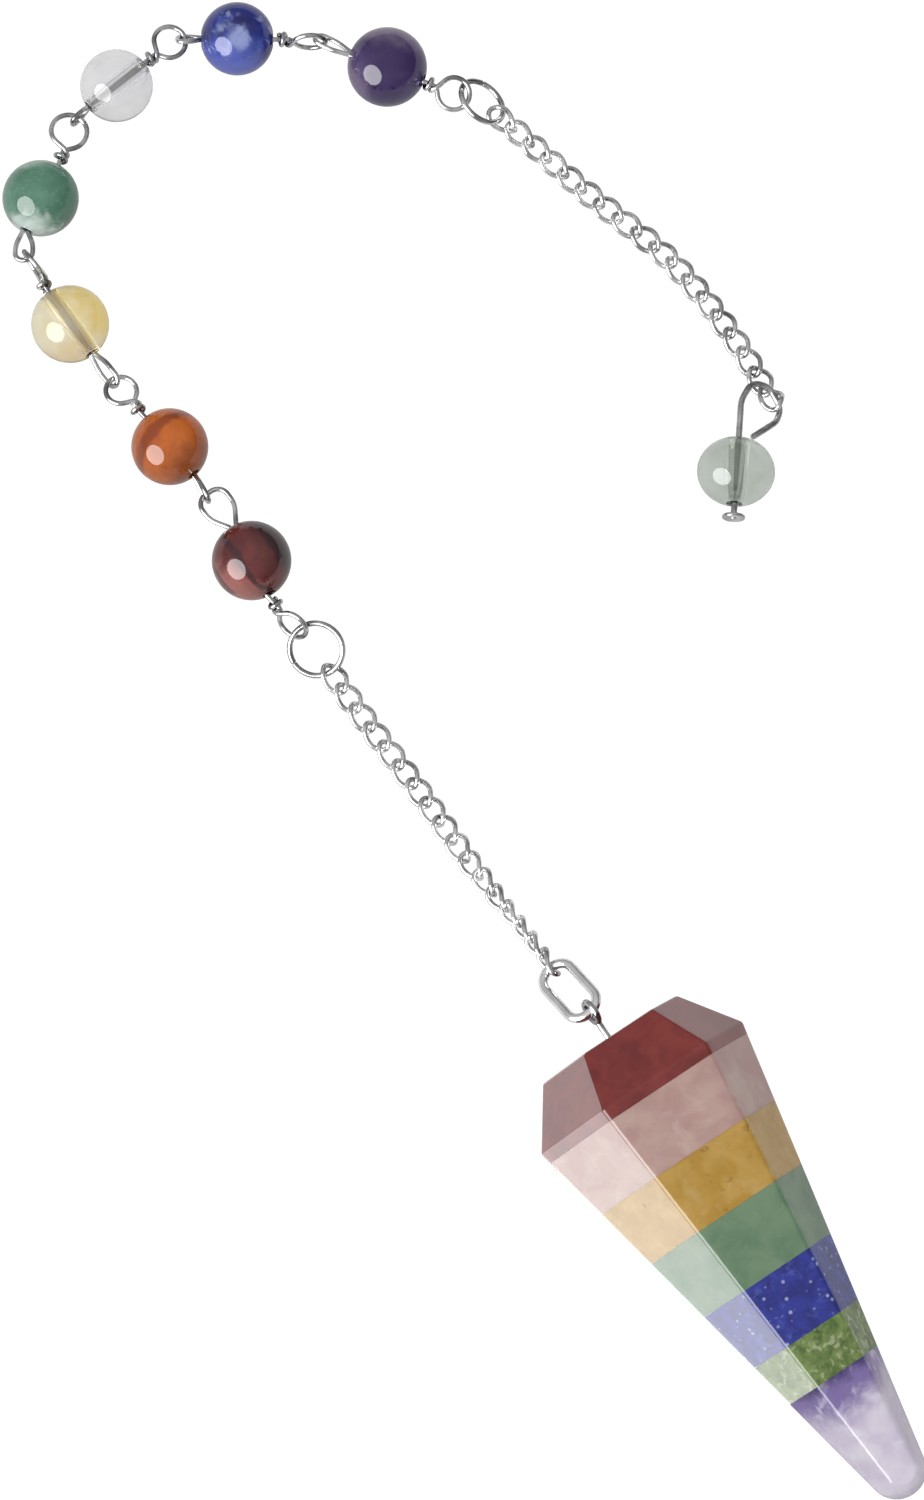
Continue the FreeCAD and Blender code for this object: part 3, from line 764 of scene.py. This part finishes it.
@dataclass(frozen=True)
class StonePoint:
    """The seven-layer hexagonal point, lying on one long facet, with the eye pin in its crown."""

    centre: tuple[float, float] = (13.5, -28.9)
    apothem: float = 7.98
    table_share: float = 0.662
    table_round: float = 0.35
    girdle_round: float = 0.5
    crown_height: float = 4.4
    tip_reach: float = 36.35
    tip_radius: float = 2.25
    tip_cone: float = 14.0
    ridge_round: float = 0.6
    crown_round: float = 0.3
    round_blend: float = 0.4
    glue_gap: float = 0.004
    hole_radius: float = 0.33
    hole_depth: float = 3.6
    eye_wire: float = 0.5
    eye_radius: float = 0.85
    eye_rise: float = 2.45
    eye_roll: float = 80.0
    shank_depth: float = 3.5
    row_step: float = 0.4
    last_row_step: float = 0.2
    tip_rows: int = 14
    facet_points: int = 9
    ridge_steps: int = 6
    pattern_end: float = 30.0
    ends: tuple[tuple[str, float], ...] = (
        ("stone_red_jasper", 0.9),
        ("stone_rose_quartz", 6.2),
        ("stone_citrine", 11.3),
        ("stone_green_aventurine", 16.8),
        ("stone_lapis", 22.0),
        ("stone_moss_agate", 25.7),
        ("stone_amethyst", 36.35),
    )

    @property
    def origin(self) -> Point:
        """The middle of the girdle."""
        height = self.apothem * math.cos(math.radians(POINT_FACET))
        return np.array((*self.centre, height))

    @property
    def ways(self) -> tuple[Point, Point, Point]:
        """Directions towards the tip, sideways and up off the lower facet."""
        return directions(POINT_TURN, -POINT_FACET, 0)

    def apothem_path(self) -> np.ndarray:
        """Station and apothem along the side of the point, from the table's middle to the end."""
        beyond = self.tip_reach + 1
        taper = math.tan(math.radians(POINT_FACET))
        corners = [
            (np.array((-self.crown_height, 0.0, 0.0)), 0.0),
            (
                np.array((-self.crown_height, self.apothem * self.table_share, 0.0)),
                self.table_round,
            ),
            (np.array((0.0, self.apothem, 0.0)), self.girdle_round),
            (np.array((beyond, self.apothem - beyond * taper, 0.0)), 0.0),
        ]
        return rounded_path(corners)[:, :2]

    def bullet(self, station: float) -> float:
        """Radius of the rounded tip at a station."""
        lean = math.radians(self.tip_cone)
        middle = self.tip_reach - self.tip_radius
        meeting = middle + self.tip_radius * math.sin(lean)
        if station < meeting:
            return self.tip_radius * math.cos(lean) + (meeting - station) * math.tan(lean)
        return math.sqrt(max(self.tip_radius**2 - (station - middle) ** 2, 1e-6))

    def outline(self, station: float, apothem: float) -> np.ndarray:
        """The closed outline of the point at a station."""
        share = min(max((station / self.round_blend + 1) / 2, 0), 1)
        soft = min(self.crown_round + share * (self.ridge_round - self.crown_round), apothem / 2)
        tip = self.bullet(station)
        axis, side, up = self.ways
        flat = (apothem - soft) * math.tan(math.radians(30))
        points = []
        for facet in range(6):
            spots = [(apothem, y) for y in np.linspace(-flat, flat, self.facet_points)]
            for k in range(1, self.ridge_steps):
                angle = math.radians(60 * k / self.ridge_steps)
                spots.append(
                    (apothem - soft + soft * math.cos(angle), flat + soft * math.sin(angle))
                )
            turn = math.radians(60 * facet)
            for x, y in spots:
                reach = math.hypot(x, y)
                angle = turn + math.atan2(y, x)
                reach = min(reach, tip)
                points.append((up * math.cos(angle) + side * math.sin(angle)) * reach)
        return self.origin + axis * station + np.array(points)

    def layer(self, start: float, end: float) -> Surface:
        """One layer between two stations; the first keeps the table and the pin's hole."""
        path = self.apothem_path()
        stations = [s for s in path[:, 0] if start < s < end]
        step = self.row_step if end < self.ends[-2][1] else self.last_row_step
        fine = np.arange(start, end, step)
        angles = np.linspace(0, math.pi / 2, self.tip_rows)
        tip = self.tip_reach - self.tip_radius * (1 - np.sin(angles))
        stations += [s for s in fine if start < s < end and s > self.girdle_round]
        stations += [s for s in tip if start < s < end]
        stations = sorted({round(float(s), 4) for s in stations} | {start, end})
        surface = Surface()
        axis = self.ways[0]
        rows = []
        if start <= -self.crown_height:
            table = next(apothem for _, apothem in path if apothem > self.hole_radius)
            rim = self.outline(start, float(table))
            across = rim - self.origin - axis * start
            hole = across / np.linalg.norm(across, axis=1)[:, None] * self.hole_radius
            for depth in (self.hole_depth, 0.0):
                rows.append(self.origin + axis * (start + depth) + hole)
            rows.append(rim)
            stations = [s for s in stations if s > start + TOUCH]
        for station in stations:
            rows.append(self.outline(station, float(np.interp(station, *path[1:].T))))
        surface.grid(rows, closed=False)
        return surface

    def eye_pin(self) -> Surface:
        """The straight shank in the crown and the round eye outside it."""
        axis, side, up = self.ways
        angle = math.radians(self.eye_roll)
        level = side * math.cos(angle) + up * math.sin(angle)
        centre = self.origin - axis * (self.crown_height + self.eye_rise)
        surface = Surface()
        loop = circle_path(centre, axis, level, self.eye_radius)
        surface.tube(loop, self.eye_wire / 2, closed=True)
        bottom = self.origin - axis * (self.crown_height - self.shank_depth)
        surface.tube(np.linspace(centre + axis * self.eye_radius, bottom, 12), self.eye_wire / 2)
        return surface

    def dress(self, layout: Layout) -> None:
        """Build the layers and the eye pin."""
        axis = self.ways[0]
        start = -self.crown_height
        for number, (node, end) in enumerate(self.ends):
            top = start if number == 0 else start + self.glue_gap / 2
            bottom = end if number == len(self.ends) - 1 else end - self.glue_gap / 2
            middle = self.origin + axis * (start + min(end, self.pattern_end)) / 2
            finish = LAYER_FINISHES[node].material(node, layout.place(middle))
            cut = self.layer(top, bottom)
            thing = layout.piece(node + "_cut", cut, node, finish)
            crisp = thing.modifiers.new("flat facets", "WEIGHTED_NORMAL")
            crisp.keep_sharp = True
            start = end
        wire = SILVER.material("eye_pin_silver", layout.place(self.origin))
        layout.piece("eye_pin_wire", self.eye_pin(), "eye_pin", wire)


@dataclass(frozen=True)
class Station:
    """A place that a chain's link centres pass, and the roll of the link there."""

    x: float
    y: float
    z: float
    roll: float


@dataclass(frozen=True)
class CurbChain:
    """Twisted oval links laid along a route."""

    node: str
    route: tuple[Station, ...]
    links: int
    wire: float = 0.4
    half_length: float = 1.31
    half_width: float = 0.87
    twist: float = 50.0
    pitch: float = 1.89
    corners: int = 12
    sides: int = 12

    def link(self, centre: Point, ways: tuple[Point, Point, Point]) -> np.ndarray:
        """The closed path of one link."""
        outward, sideways, upward = ways
        widest_bend = 4 * self.half_length
        spots = []
        for k in range(self.corners):
            angle = 2 * math.pi * (k + 0.5) / self.corners
            across = self.half_width * math.sin(angle)
            twist = math.radians(self.twist) * math.cos(angle)
            point = centre + outward * self.half_length * math.cos(angle)
            point = point + across * (sideways * math.cos(twist) + upward * math.sin(twist))
            spots.append((point, widest_bend))
        return rounded_path(spots, closed=True)

    def dress(self, layout: Layout) -> None:
        """Build every link into one piece."""
        curve = Spline(np.array([(stop.x, stop.y, stop.z) for stop in self.route]))
        rolls = [stop.roll for stop in self.route]
        surface = Surface()
        for i in range(self.links):
            centre, ahead, mark = curve.at(i * self.pitch)
            roll = float(np.interp(mark, curve.knots, rolls))
            path = self.link(centre, rolled(-ahead, roll))
            surface.tube(path, self.wire / 2, closed=True, sides=self.sides)
        middle = layout.place(np.array((self.route[0].x, self.route[0].y, 0.0)))
        # The links take the paler silver, painted brighter.
        finish = LIT_CHAIN_SILVER.material(self.node + "_silver", middle)
        layout.piece(self.node + "_links", surface, self.node, finish)


@dataclass(frozen=True)
class WireRing:
    """A ring bent from round wire, with the small seam where its ends meet."""

    node: str
    radius: float
    wire: float
    centre: tuple[float, float, float]
    turn: float
    tilt: float
    roll: float
    seam: float = 200.0
    seam_gap: float = 0.05
    half_width: float | None = None
    steps: int = 97
    sides: int = 20

    def dress(self, layout: Layout) -> None:
        """Build the ring: round, or an oval with straight sides if it has a half width."""
        outward, sideways, _ = directions(self.turn, self.tilt, self.roll)
        bend = self.half_width or self.radius
        opening = math.degrees((self.seam_gap + WIRE_END_ROUND * self.wire) / self.radius) / 2
        path = []
        for angle in np.linspace(self.seam + opening, self.seam + 360 - opening, self.steps):
            way = math.radians(angle)
            along = math.copysign(self.radius - bend, math.cos(way)) + bend * math.cos(way)
            across = bend * math.sin(way)
            path.append(np.array(self.centre) + outward * along + sideways * across)
        surface = Surface()
        surface.tube(np.array(path), self.wire / 2, sides=self.sides)
        # The bail ring takes the palest silver, painted brighter.
        silver = LIT_BAIL_SILVER if self.node == "bail_ring" else SILVER
        finish = silver.material(self.node + "_silver", layout.place(np.array(self.centre)))
        layout.piece(self.node + "_wire", surface, self.node, finish)


@dataclass(frozen=True)
class Hairpin:
    """The plain loop that a bead's wire makes on the side away from the wraps."""

    turn: float
    tilt: float
    roll: float
    length: float
    width: float
    belly_share: float = 0.42
    belly_bend: float = 2.0
    end_fullness: float = 0.97


@dataclass(frozen=True)
class Eye:
    """The round loop that is closed by wraps round its own stem."""

    turn: float
    tilt: float
    roll: float
    reach: float
    radius: float
    arcs: int = 5
    start: float = 210.0
    sweep: float = 300.0
    fullness: float = 0.985
    neck_bend: float = 0.35
    cross_side: float = 0.12
    cross_bend: float = 0.3


@dataclass(frozen=True)
class WiredBead:
    """A drilled gemstone ball on its doubled wire."""

    name: str
    diameter: float
    x: float
    y: float
    turn: float
    pin: Hairpin
    eye: Eye
    slot: Slot
    hole: float = 1.02
    wire: float = 0.4
    leg_offset: float = 0.22
    wrap_radius: float = 0.43
    wrap_pitch: float = 0.44
    wrap_turns: float = 1.5
    wrap_steps: int = 8
    wrap_fullness: float = 0.95
    wrap_play: float = 0.05
    wrap_drop: float = 0.18
    lip_play: float = 0.02
    lip_bend: float = 0.6
    stub_depth: float = 0.35

    @property
    def centre(self) -> Point:
        """The ball's middle; it rests on the table."""
        return np.array((self.x, self.y, self.diameter / 2))

    def hairpin(self, pole: Point) -> list[Corner]:
        """Corners of the plain loop."""
        pin = self.pin
        outward, sideways, _ = directions(pin.turn, pin.tilt, pin.roll)
        half = pin.width / 2
        end = pin.length - self.wire / 2
        belly = pin.length * pin.belly_share
        bends = (
            (belly, -half, pin.belly_bend),
            (end, -half, half * pin.end_fullness),
            (end, half, half * pin.end_fullness),
            (belly, half, pin.belly_bend),
        )
        return [(pole + outward * x + sideways * y, radius) for x, y, radius in bends]

    def wrapped_loop(self, root: Point) -> list[Corner]:
        """Corners of the round loop and its wraps."""
        eye = self.eye
        outward, sideways, upward = directions(eye.turn, eye.tilt, eye.roll)
        over = self.wrap_radius + self.wrap_play
        neck = eye.reach - eye.radius / math.cos(math.radians(180 - eye.sweep / 2))

        def place(x: float, y: float, z: float) -> Point:
            return root + outward * x + sideways * y + upward * z

        corners = [(place(neck, 0, 0), eye.neck_bend)]
        step = math.radians(eye.sweep / eye.arcs)
        reach = eye.radius / math.cos(step / 2)
        for k in range(eye.arcs):
            angle = math.radians(eye.start) + step * (k + 0.5)
            lift = over * (k + 0.5) / eye.arcs
            point = place(eye.reach + reach * math.cos(angle), reach * math.sin(angle), lift)
            corners.append((point, eye.radius * eye.fullness))
        corners.append((place(neck, -eye.cross_side, over), eye.cross_bend))
        swing = self.wrap_radius / math.cos(math.pi / self.wrap_steps)
        for k in range(1, int(self.wrap_turns * self.wrap_steps) + 1):
            angle = 2 * math.pi * k / self.wrap_steps
            x = neck - self.wrap_drop - self.wrap_pitch * k / self.wrap_steps
            point = place(x, -swing * math.sin(angle), swing * math.cos(angle))
            corners.append((point, self.wrap_radius * self.wrap_fullness))
        return corners

    def wire_path(self) -> np.ndarray:
        """The one wire: a leg in the hole, the plain loop, the leg back, the eye and its wraps."""
        hole_way = directions(self.turn, 0, 0)[0]
        pin_side = directions(self.pin.turn, self.pin.tilt, self.pin.roll)[1]
        apart = unit(pin_side - hole_way * (pin_side @ hole_way)) * self.leg_offset
        radius = self.diameter / 2
        lip = hole_way * (radius + self.lip_play)
        corners: list[Corner] = [
            (self.centre + hole_way * (radius - self.stub_depth) - apart, 0.0),
            (self.centre - lip - apart, self.lip_bend),
        ]
        corners += self.hairpin(self.centre - hole_way * radius)
        corners.append((self.centre - lip + apart, self.lip_bend))
        corners.append((self.centre + lip + apart, self.lip_bend))
        corners += self.wrapped_loop(self.centre + hole_way * radius + apart)
        return rounded_path(corners)

    def dress(self, layout: Layout) -> None:
        """Build the ball and its wire."""
        radius = self.diameter / 2
        centre = layout.place(self.centre)
        ball = Surface()
        way = directions(self.turn, 0, 0)[0]
        profile = drilled_profile(radius, radius, self.hole / 2)
        ball.lathe(profile, self.centre, way, BALL_SIDES)
        finish = BEAD_FINISHES[self.name].material(self.name, centre)
        layout.piece(self.name + "_ball", ball, "bead_" + self.name, finish)
        wire = Surface()
        wire.tube(self.wire_path(), self.wire / 2)
        silver = SILVER.material(self.name + "_silver", centre, hidden=radius)
        layout.piece(self.name + "_wrap", wire, "wire_" + self.name, silver)


def drilled_profile(along: float, across: float, bore: float, lip: float = 0.1) -> np.ndarray:
    """The closed (along, out) half section of a drilled ball with softened lips.

    Args:
        along: the ball's radius along its hole.
        across: its radius square to the hole.
        bore: the hole's radius.
        lip: how far the lips are rounded.

    Returns:
        The profile's points.
    """
    edge = math.asin(bore / across) + lip / across
    angles = np.linspace(edge, math.pi - edge, BALL_STEPS)
    outside = np.column_stack((along * np.cos(angles), across * np.sin(angles)))
    corner = along * math.cos(math.asin(bore / across))
    wall_along = np.linspace(-corner + lip, corner - lip, BORE_STEPS)
    wall = np.column_stack((wall_along, np.full(BORE_STEPS, bore)))
    rounding = []
    for sign, start in ((-1, outside[-1]), (1, wall[-1])):
        middle = np.array((sign * corner, bore))
        end = wall[0] if sign < 0 else outside[0]
        for share in (0.25, 0.5, 0.75):
            near = start * (1 - share) + middle * share
            far = middle * (1 - share) + end * share
            rounding.append(near * (1 - share) + far * share)
    return np.vstack((outside, rounding[:3], wall, rounding[3:]))


@dataclass(frozen=True)
class EndHold:
    """The clear end bead, the head pin through it and the open hook that holds the chain."""

    x: float = 21.2
    y: float = 21.6
    turn: float = 86.5
    diameter: float = 6.05
    length: float = 5.4
    hole: float = 1.2
    wire: float = 0.5
    head_diameter: float = 1.8
    head_thickness: float = 0.25
    head_edge: float = 0.06
    head_neck: float = 0.08
    head_play: float = 0.02
    head_stand: float = 1.15
    hook_roll: float = 30.0
    hook: tuple[tuple[float, float, float], ...] = (
        (3.2, -0.12, 2.0),
        (4.9, -1.0, 1.2),
        (4.85, -2.6, 1.2),
        (3.4, -3.75, 1.3),
        (2.2, -3.45, 1.3),
        (0.45, -1.35, 0),
    )

    @property
    def centre(self) -> Point:
        """The bead's middle; it rests on the table."""
        return np.array((self.x, self.y, self.diameter / 2))

    def pin(self) -> Surface:
        """The wire with its flat head."""
        outward, sideways, _ = directions(self.turn, 0, self.hook_roll)
        pole = self.length / 2
        head = self.centre - outward * (pole + self.head_stand)
        corners: list[Corner] = [(head, 0.0)]
        corners += [
            (self.centre + outward * (pole + x) + sideways * y, radius)
            for x, y, radius in self.hook
        ]
        surface = Surface()
        surface.tube(rounded_path(corners), self.wire / 2, sides=18)
        rim, thick, edge = self.head_diameter / 2, self.head_thickness, self.head_edge
        neck = thick + self.head_neck
        disc = (
            (0.0, self.head_play),
            (0.0, rim - edge),
            (edge, rim),
            (thick - edge, rim),
            (thick, rim - edge),
            (neck, self.wire / 2 + self.head_play),
            (neck, self.head_play),
        )
        surface.lathe(np.array(disc), head, outward, 40)
        return surface

    def dress(self, layout: Layout) -> None:
        """Build the bead and the pin."""
        centre = layout.place(self.centre)
        pole = self.length / 2
        ball = Surface()
        profile = drilled_profile(pole, self.diameter / 2, self.hole / 2)
        ball.lathe(profile, self.centre, directions(self.turn, 0, 0)[0], BALL_SIDES)
        finish = END_FINISH.material("end_quartz", centre)
        layout.piece("end_ball", ball, "end_bead", finish)
        silver = SILVER.material("head_pin_silver", centre, hidden=pole)
        layout.piece("head_pin_wire", self.pin(), "head_pin", silver)


LOWER_CHAIN = CurbChain(
    "chain_lower",
    (
        Station(6.5, -18.75, 6.4, 85),
        Station(4.0, -14.7, 4.3, 75),
        Station(2.0, -11.7, 2.9, 55),
        Station(-0.2, -8.35, 1.8, 30),
        Station(-3.4, -3.4, 0.85, 10),
        Station(-6.8, 1.35, 0.62, 0),
        Station(-9.8, 5.6, 0.62, 0),
        Station(-11.2, 7.7, 0.62, 0),
    ),
    links=17,
)
UPPER_CHAIN = CurbChain(
    "chain_upper",
    (
        Station(24.07, 28.29, 1.28, -5.5),
        Station(23.53, 29.39, 0.84, 4.7),
        Station(22.1, 32.0, 0.72, 0),
        Station(19.1, 36.5, 0.72, 0),
        Station(15.6, 40.6, 0.72, 0),
        Station(11.7, 43.9, 0.78, 20),
        Station(8.8, 46.4, 0.9, 35),
        Station(4.7, 50.2, 1.1, 40),
        Station(3.0, 51.68, 1.2, 40),
    ),
    links=18,
    pitch=1.86,
)
RINGS = (
    WireRing(
        "bail_ring", 2.81, 0.75, (8.09, -21.29, 7.77), 126.0, -25.7, -13.1,
        seam=30, half_width=1.3,
    ),
    WireRing("jump_ring_lower", 2.07, 0.45, (-11.23, 7.69, 1.36), -69.6, -26.3, 17.8, seam=285),
    WireRing("jump_ring_upper", 1.96, 0.45, (1.59, 52.78, 1.81), -24.7, -25.4, -29.8, seam=100),
)
BEADS = (
    WiredBead(
        "red_jasper", 6.15, -16.22, 14.33, -62.8,
        Hairpin(125.5, 0, 0, 3.6, 2.35), Eye(-42.0, -20, 62, 2.95, 1.25), Slot.RED_JASPER,
    ),
    WiredBead(
        "carnelian", 5.98, -22.63, 23.65, 129.7,
        Hairpin(-61.6, 0, 89, 2.61, 1.5), Eye(131.3, -3, 4, 2.88, 1.2), Slot.CARNELIAN,
    ),
    WiredBead(
        "citrine", 6.07, -30.49, 33.73, 125.1,
        Hairpin(-52.8, 4, 57, 3.43, 1.3), Eye(124.6, -1, 80, 2.67, 1.2), Slot.CITRINE,
    ),
    WiredBead(
        "aventurine", 5.99, -32.96, 44.21, 67.7,
        Hairpin(-93.0, 0, 10, 2.59, 1.4), Eye(74.2, -3, 1, 2.97, 1.4), Slot.AVENTURINE,
    ),
    WiredBead(
        "clear_quartz", 5.72, -27.15, 53.71, 40.2,
        Hairpin(-133.9, 0, 88, 1.96, 1.4), Eye(42.0, -4, 2, 2.62, 1.26), Slot.CLEAR_QUARTZ,
    ),
    WiredBead(
        "lapis", 5.78, -17.70, 57.67, 0.0,
        Hairpin(-177.0, 2, 51, 1.98, 1.35), Eye(0.8, 1, 84, 2.76, 1.3), Slot.LAPIS,
    ),
    WiredBead(
        "amethyst", 6.26, -5.88, 55.19, -21.1,
        Hairpin(152.3, -1, 38, 3.25, 1.35), Eye(-18.9, -14, 10, 2.55, 1.26), Slot.AMETHYST,
    ),
)


@dataclass(frozen=True)
class Lamp:
    """A round soft lamp: one that polish reflects, or one that lights the matt colours."""

    name: str
    way: tuple[float, float, float]
    spread: float
    radiance: float
    polish: bool = False


@dataclass(frozen=True)
class Wash:
    """A glow over a square of the table, in the layout's millimetres."""

    x: float
    y: float
    reach: float
    radiance: float


@dataclass(frozen=True)
class Studio:
    """The white table, the soft lamps and the camera."""

    elevation: float = 73.0
    distance: float = 600.0
    lens: float = 187.2
    sensor: float = 36.0
    nearest: float = 0.01
    table_size: float = 1.6
    table_tone: float = 0.45
    table_seen: float = 1.08
    table_through: float = 0.74
    washes: tuple[Wash, ...] = (
        Wash(-10.0, -70.0, 34.0, 5.0),
        Wash(-22.0, -10.0, 26.0, 1.7),
    )
    wash_height: float = 0.05
    lamp_distance: float = 1.6
    lamps: tuple[Lamp, ...] = (
        Lamp("softbox", (-0.688, -0.568, 0.452), 28.0, 7.4, polish=True),
        Lamp("key", (-0.5, -0.45, 0.74), 35.0, 2.95),
        Lamp("fill", (0.45, 0.4, 0.8), 35.0, 1.8),
    )
    room_light: float = 0.62
    room_dark: float = 0.12
    room_way: tuple[float, float, float] = (-0.35, -0.2, 0.9)
    room_span: tuple[float, float] = (-0.3, 0.85)

    def sheet(self, name: str, layout: Layout, middle: Point, half: float) -> bpy.types.Object:
        """A level square, as part of the stage."""
        mesh = bpy.data.meshes.new(name)
        centre = layout.place(middle)
        ways = ((-1, -1, 0), (1, -1, 0), (1, 1, 0), (-1, 1, 0))
        corners = [tuple(centre + np.array(way) * half) for way in ways]
        mesh.from_pydata(corners, [], [(0, 1, 2, 3)])
        sheet = bpy.data.objects.new(name, mesh)
        bpy.context.scene.collection.objects.link(sheet)
        material = bpy.data.materials.new(name + "_finish")
        material.use_nodes = True
        mesh.materials.append(material)
        return sheet

    def table(self, layout: Layout) -> None:
        """A pale floor, plain white and without shadows to the camera and through clear beads."""
        table = self.sheet("table", layout, np.zeros(3), self.table_size / 2)
        nodes = Nodes(table.data.materials[0].node_tree)
        ray = nodes.add("ShaderNodeLightPath").outputs
        matt = nodes.add("ShaderNodeBsdfDiffuse")
        nodes.feed(matt.inputs["Color"], (self.table_tone,) * 3)
        level = nodes.add("ShaderNodeMapRange")
        nodes.feed(level.inputs["Value"], ray["Is Camera Ray"])
        nodes.feed(level.inputs["To Min"], self.table_through)
        nodes.feed(level.inputs["To Max"], self.table_seen)
        white = nodes.add("ShaderNodeEmission")
        nodes.feed(white.inputs["Strength"], level.outputs["Result"])
        seen = nodes.add("ShaderNodeMath", operation="MAXIMUM")
        nodes.feed(seen.inputs[0], ray["Is Camera Ray"])
        nodes.feed(seen.inputs[1], ray["Is Transmission Ray"])
        choice = nodes.add("ShaderNodeMixShader")
        for socket, source in zip(choice.inputs, (seen, matt, white)):
            nodes.feed(socket, source.outputs[0])
        nodes.end(choice)

    def wash(self, layout: Layout) -> None:
        """Glows over the table beside the stone, that only its upper layers' polish reflects."""
        washed = bpy.data.collections.new("washed")
        for name in LAYER_FINISHES:
            if name != "stone_amethyst":
                washed.objects.link(bpy.data.objects[name + "_cut"])
        for number, wash in enumerate(self.washes):
            middle = np.array((wash.x, wash.y, self.wash_height))
            sheet = self.sheet(f"wash_{number}", layout, middle, wash.reach * MM)
            nodes = Nodes(sheet.data.materials[0].node_tree)
            glow = nodes.add("ShaderNodeEmission")
            nodes.feed(glow.inputs["Strength"], wash.radiance)
            both = nodes.add("ShaderNodeAddShader")
            nodes.feed(both.inputs[0], glow.outputs[0])
            nodes.feed(both.inputs[1], nodes.add("ShaderNodeBsdfTransparent").outputs[0])
            nodes.end(both)
            for ray in ("camera", "diffuse", "transmission", "shadow"):
                setattr(sheet, "visible_" + ray, False)
            sheet.light_linking.receiver_collection = washed

    def lights(self, layout: Layout) -> None:
        """The lamps, and the room's soft light, brighter overhead than at the sides."""
        for lamp in self.lamps:
            way = unit(np.array(lamp.way))
            radius = self.lamp_distance * math.tan(math.radians(lamp.spread))
            light = bpy.data.lights.new(lamp.name, "AREA")
            light.shape = "DISK"
            light.size = 2 * radius
            light.energy = lamp.radiance * math.pi * math.pi * radius**2
            thing = bpy.data.objects.new(lamp.name, light)
            bpy.context.scene.collection.objects.link(thing)
            aim(thing, layout.origin + way * self.lamp_distance, -way)
            thing.visible_diffuse = not lamp.polish
            thing.visible_glossy = lamp.polish
            thing.visible_transmission = lamp.polish
        world = bpy.data.worlds.new("room")
        world.use_nodes = True
        nodes = Nodes(world.node_tree)
        dot = nodes.add("ShaderNodeVectorMath", operation="DOT_PRODUCT")
        nodes.feed(dot.inputs[0], nodes.add("ShaderNodeTexCoord").outputs["Generated"])
        nodes.feed(dot.inputs[1], tuple(unit(np.array(self.room_way))))
        level = nodes.add("ShaderNodeMapRange")
        nodes.feed(level.inputs["Value"], dot.outputs["Value"])
        limits = ("From Min", "From Max", "To Min", "To Max")
        for limit, value in zip(limits, (*self.room_span, self.room_dark, self.room_light)):
            nodes.feed(level.inputs[limit], value)
        room = nodes.add("ShaderNodeBackground")
        nodes.feed(room.inputs["Color"], (1.0, 1.0, 1.0))
        nodes.feed(room.inputs["Strength"], level.outputs["Result"])
        nodes.end(room, "ShaderNodeOutputWorld")
        bpy.context.scene.world = world
        bpy.context.scene.view_settings.view_transform = "Standard"

    def camera(self, layout: Layout) -> None:
        """The camera, high over the near edge."""
        rise = math.radians(self.elevation)
        back = np.array((0.0, -math.cos(rise), math.sin(rise)))
        data = bpy.data.cameras.new("camera")
        data.lens = self.lens
        data.sensor_width = self.sensor
        data.clip_start = self.nearest
        camera = bpy.data.objects.new("camera", data)
        bpy.context.scene.collection.objects.link(camera)
        aim(camera, layout.origin + back * self.distance * MM, -back)
        bpy.context.scene.camera = camera


def aim(thing: bpy.types.Object, place: Point, way: Point) -> None:
    """Stand a lamp or camera at a place, looking along a direction."""
    thing.location = tuple(place)
    thing.rotation_mode = "QUATERNION"
    thing.rotation_quaternion = Vector(tuple(way)).to_track_quat("-Z", "Y")


def main() -> None:
    """Dress the whole pendant and set up the studio."""
    logging.basicConfig(level=logging.INFO, format="%(name)s %(message)s")
    first = BEADS[0]
    layout = Layout("bead_" + first.name, first.x, first.y)
    for assembly in (StonePoint(), LOWER_CHAIN, *RINGS, *BEADS, UPPER_CHAIN, EndHold()):
        assembly.dress(layout)
    studio = Studio()
    studio.table(layout)
    studio.wash(layout)
    studio.lights(layout)
    studio.camera(layout)


if __name__ == "__main__":
    main()
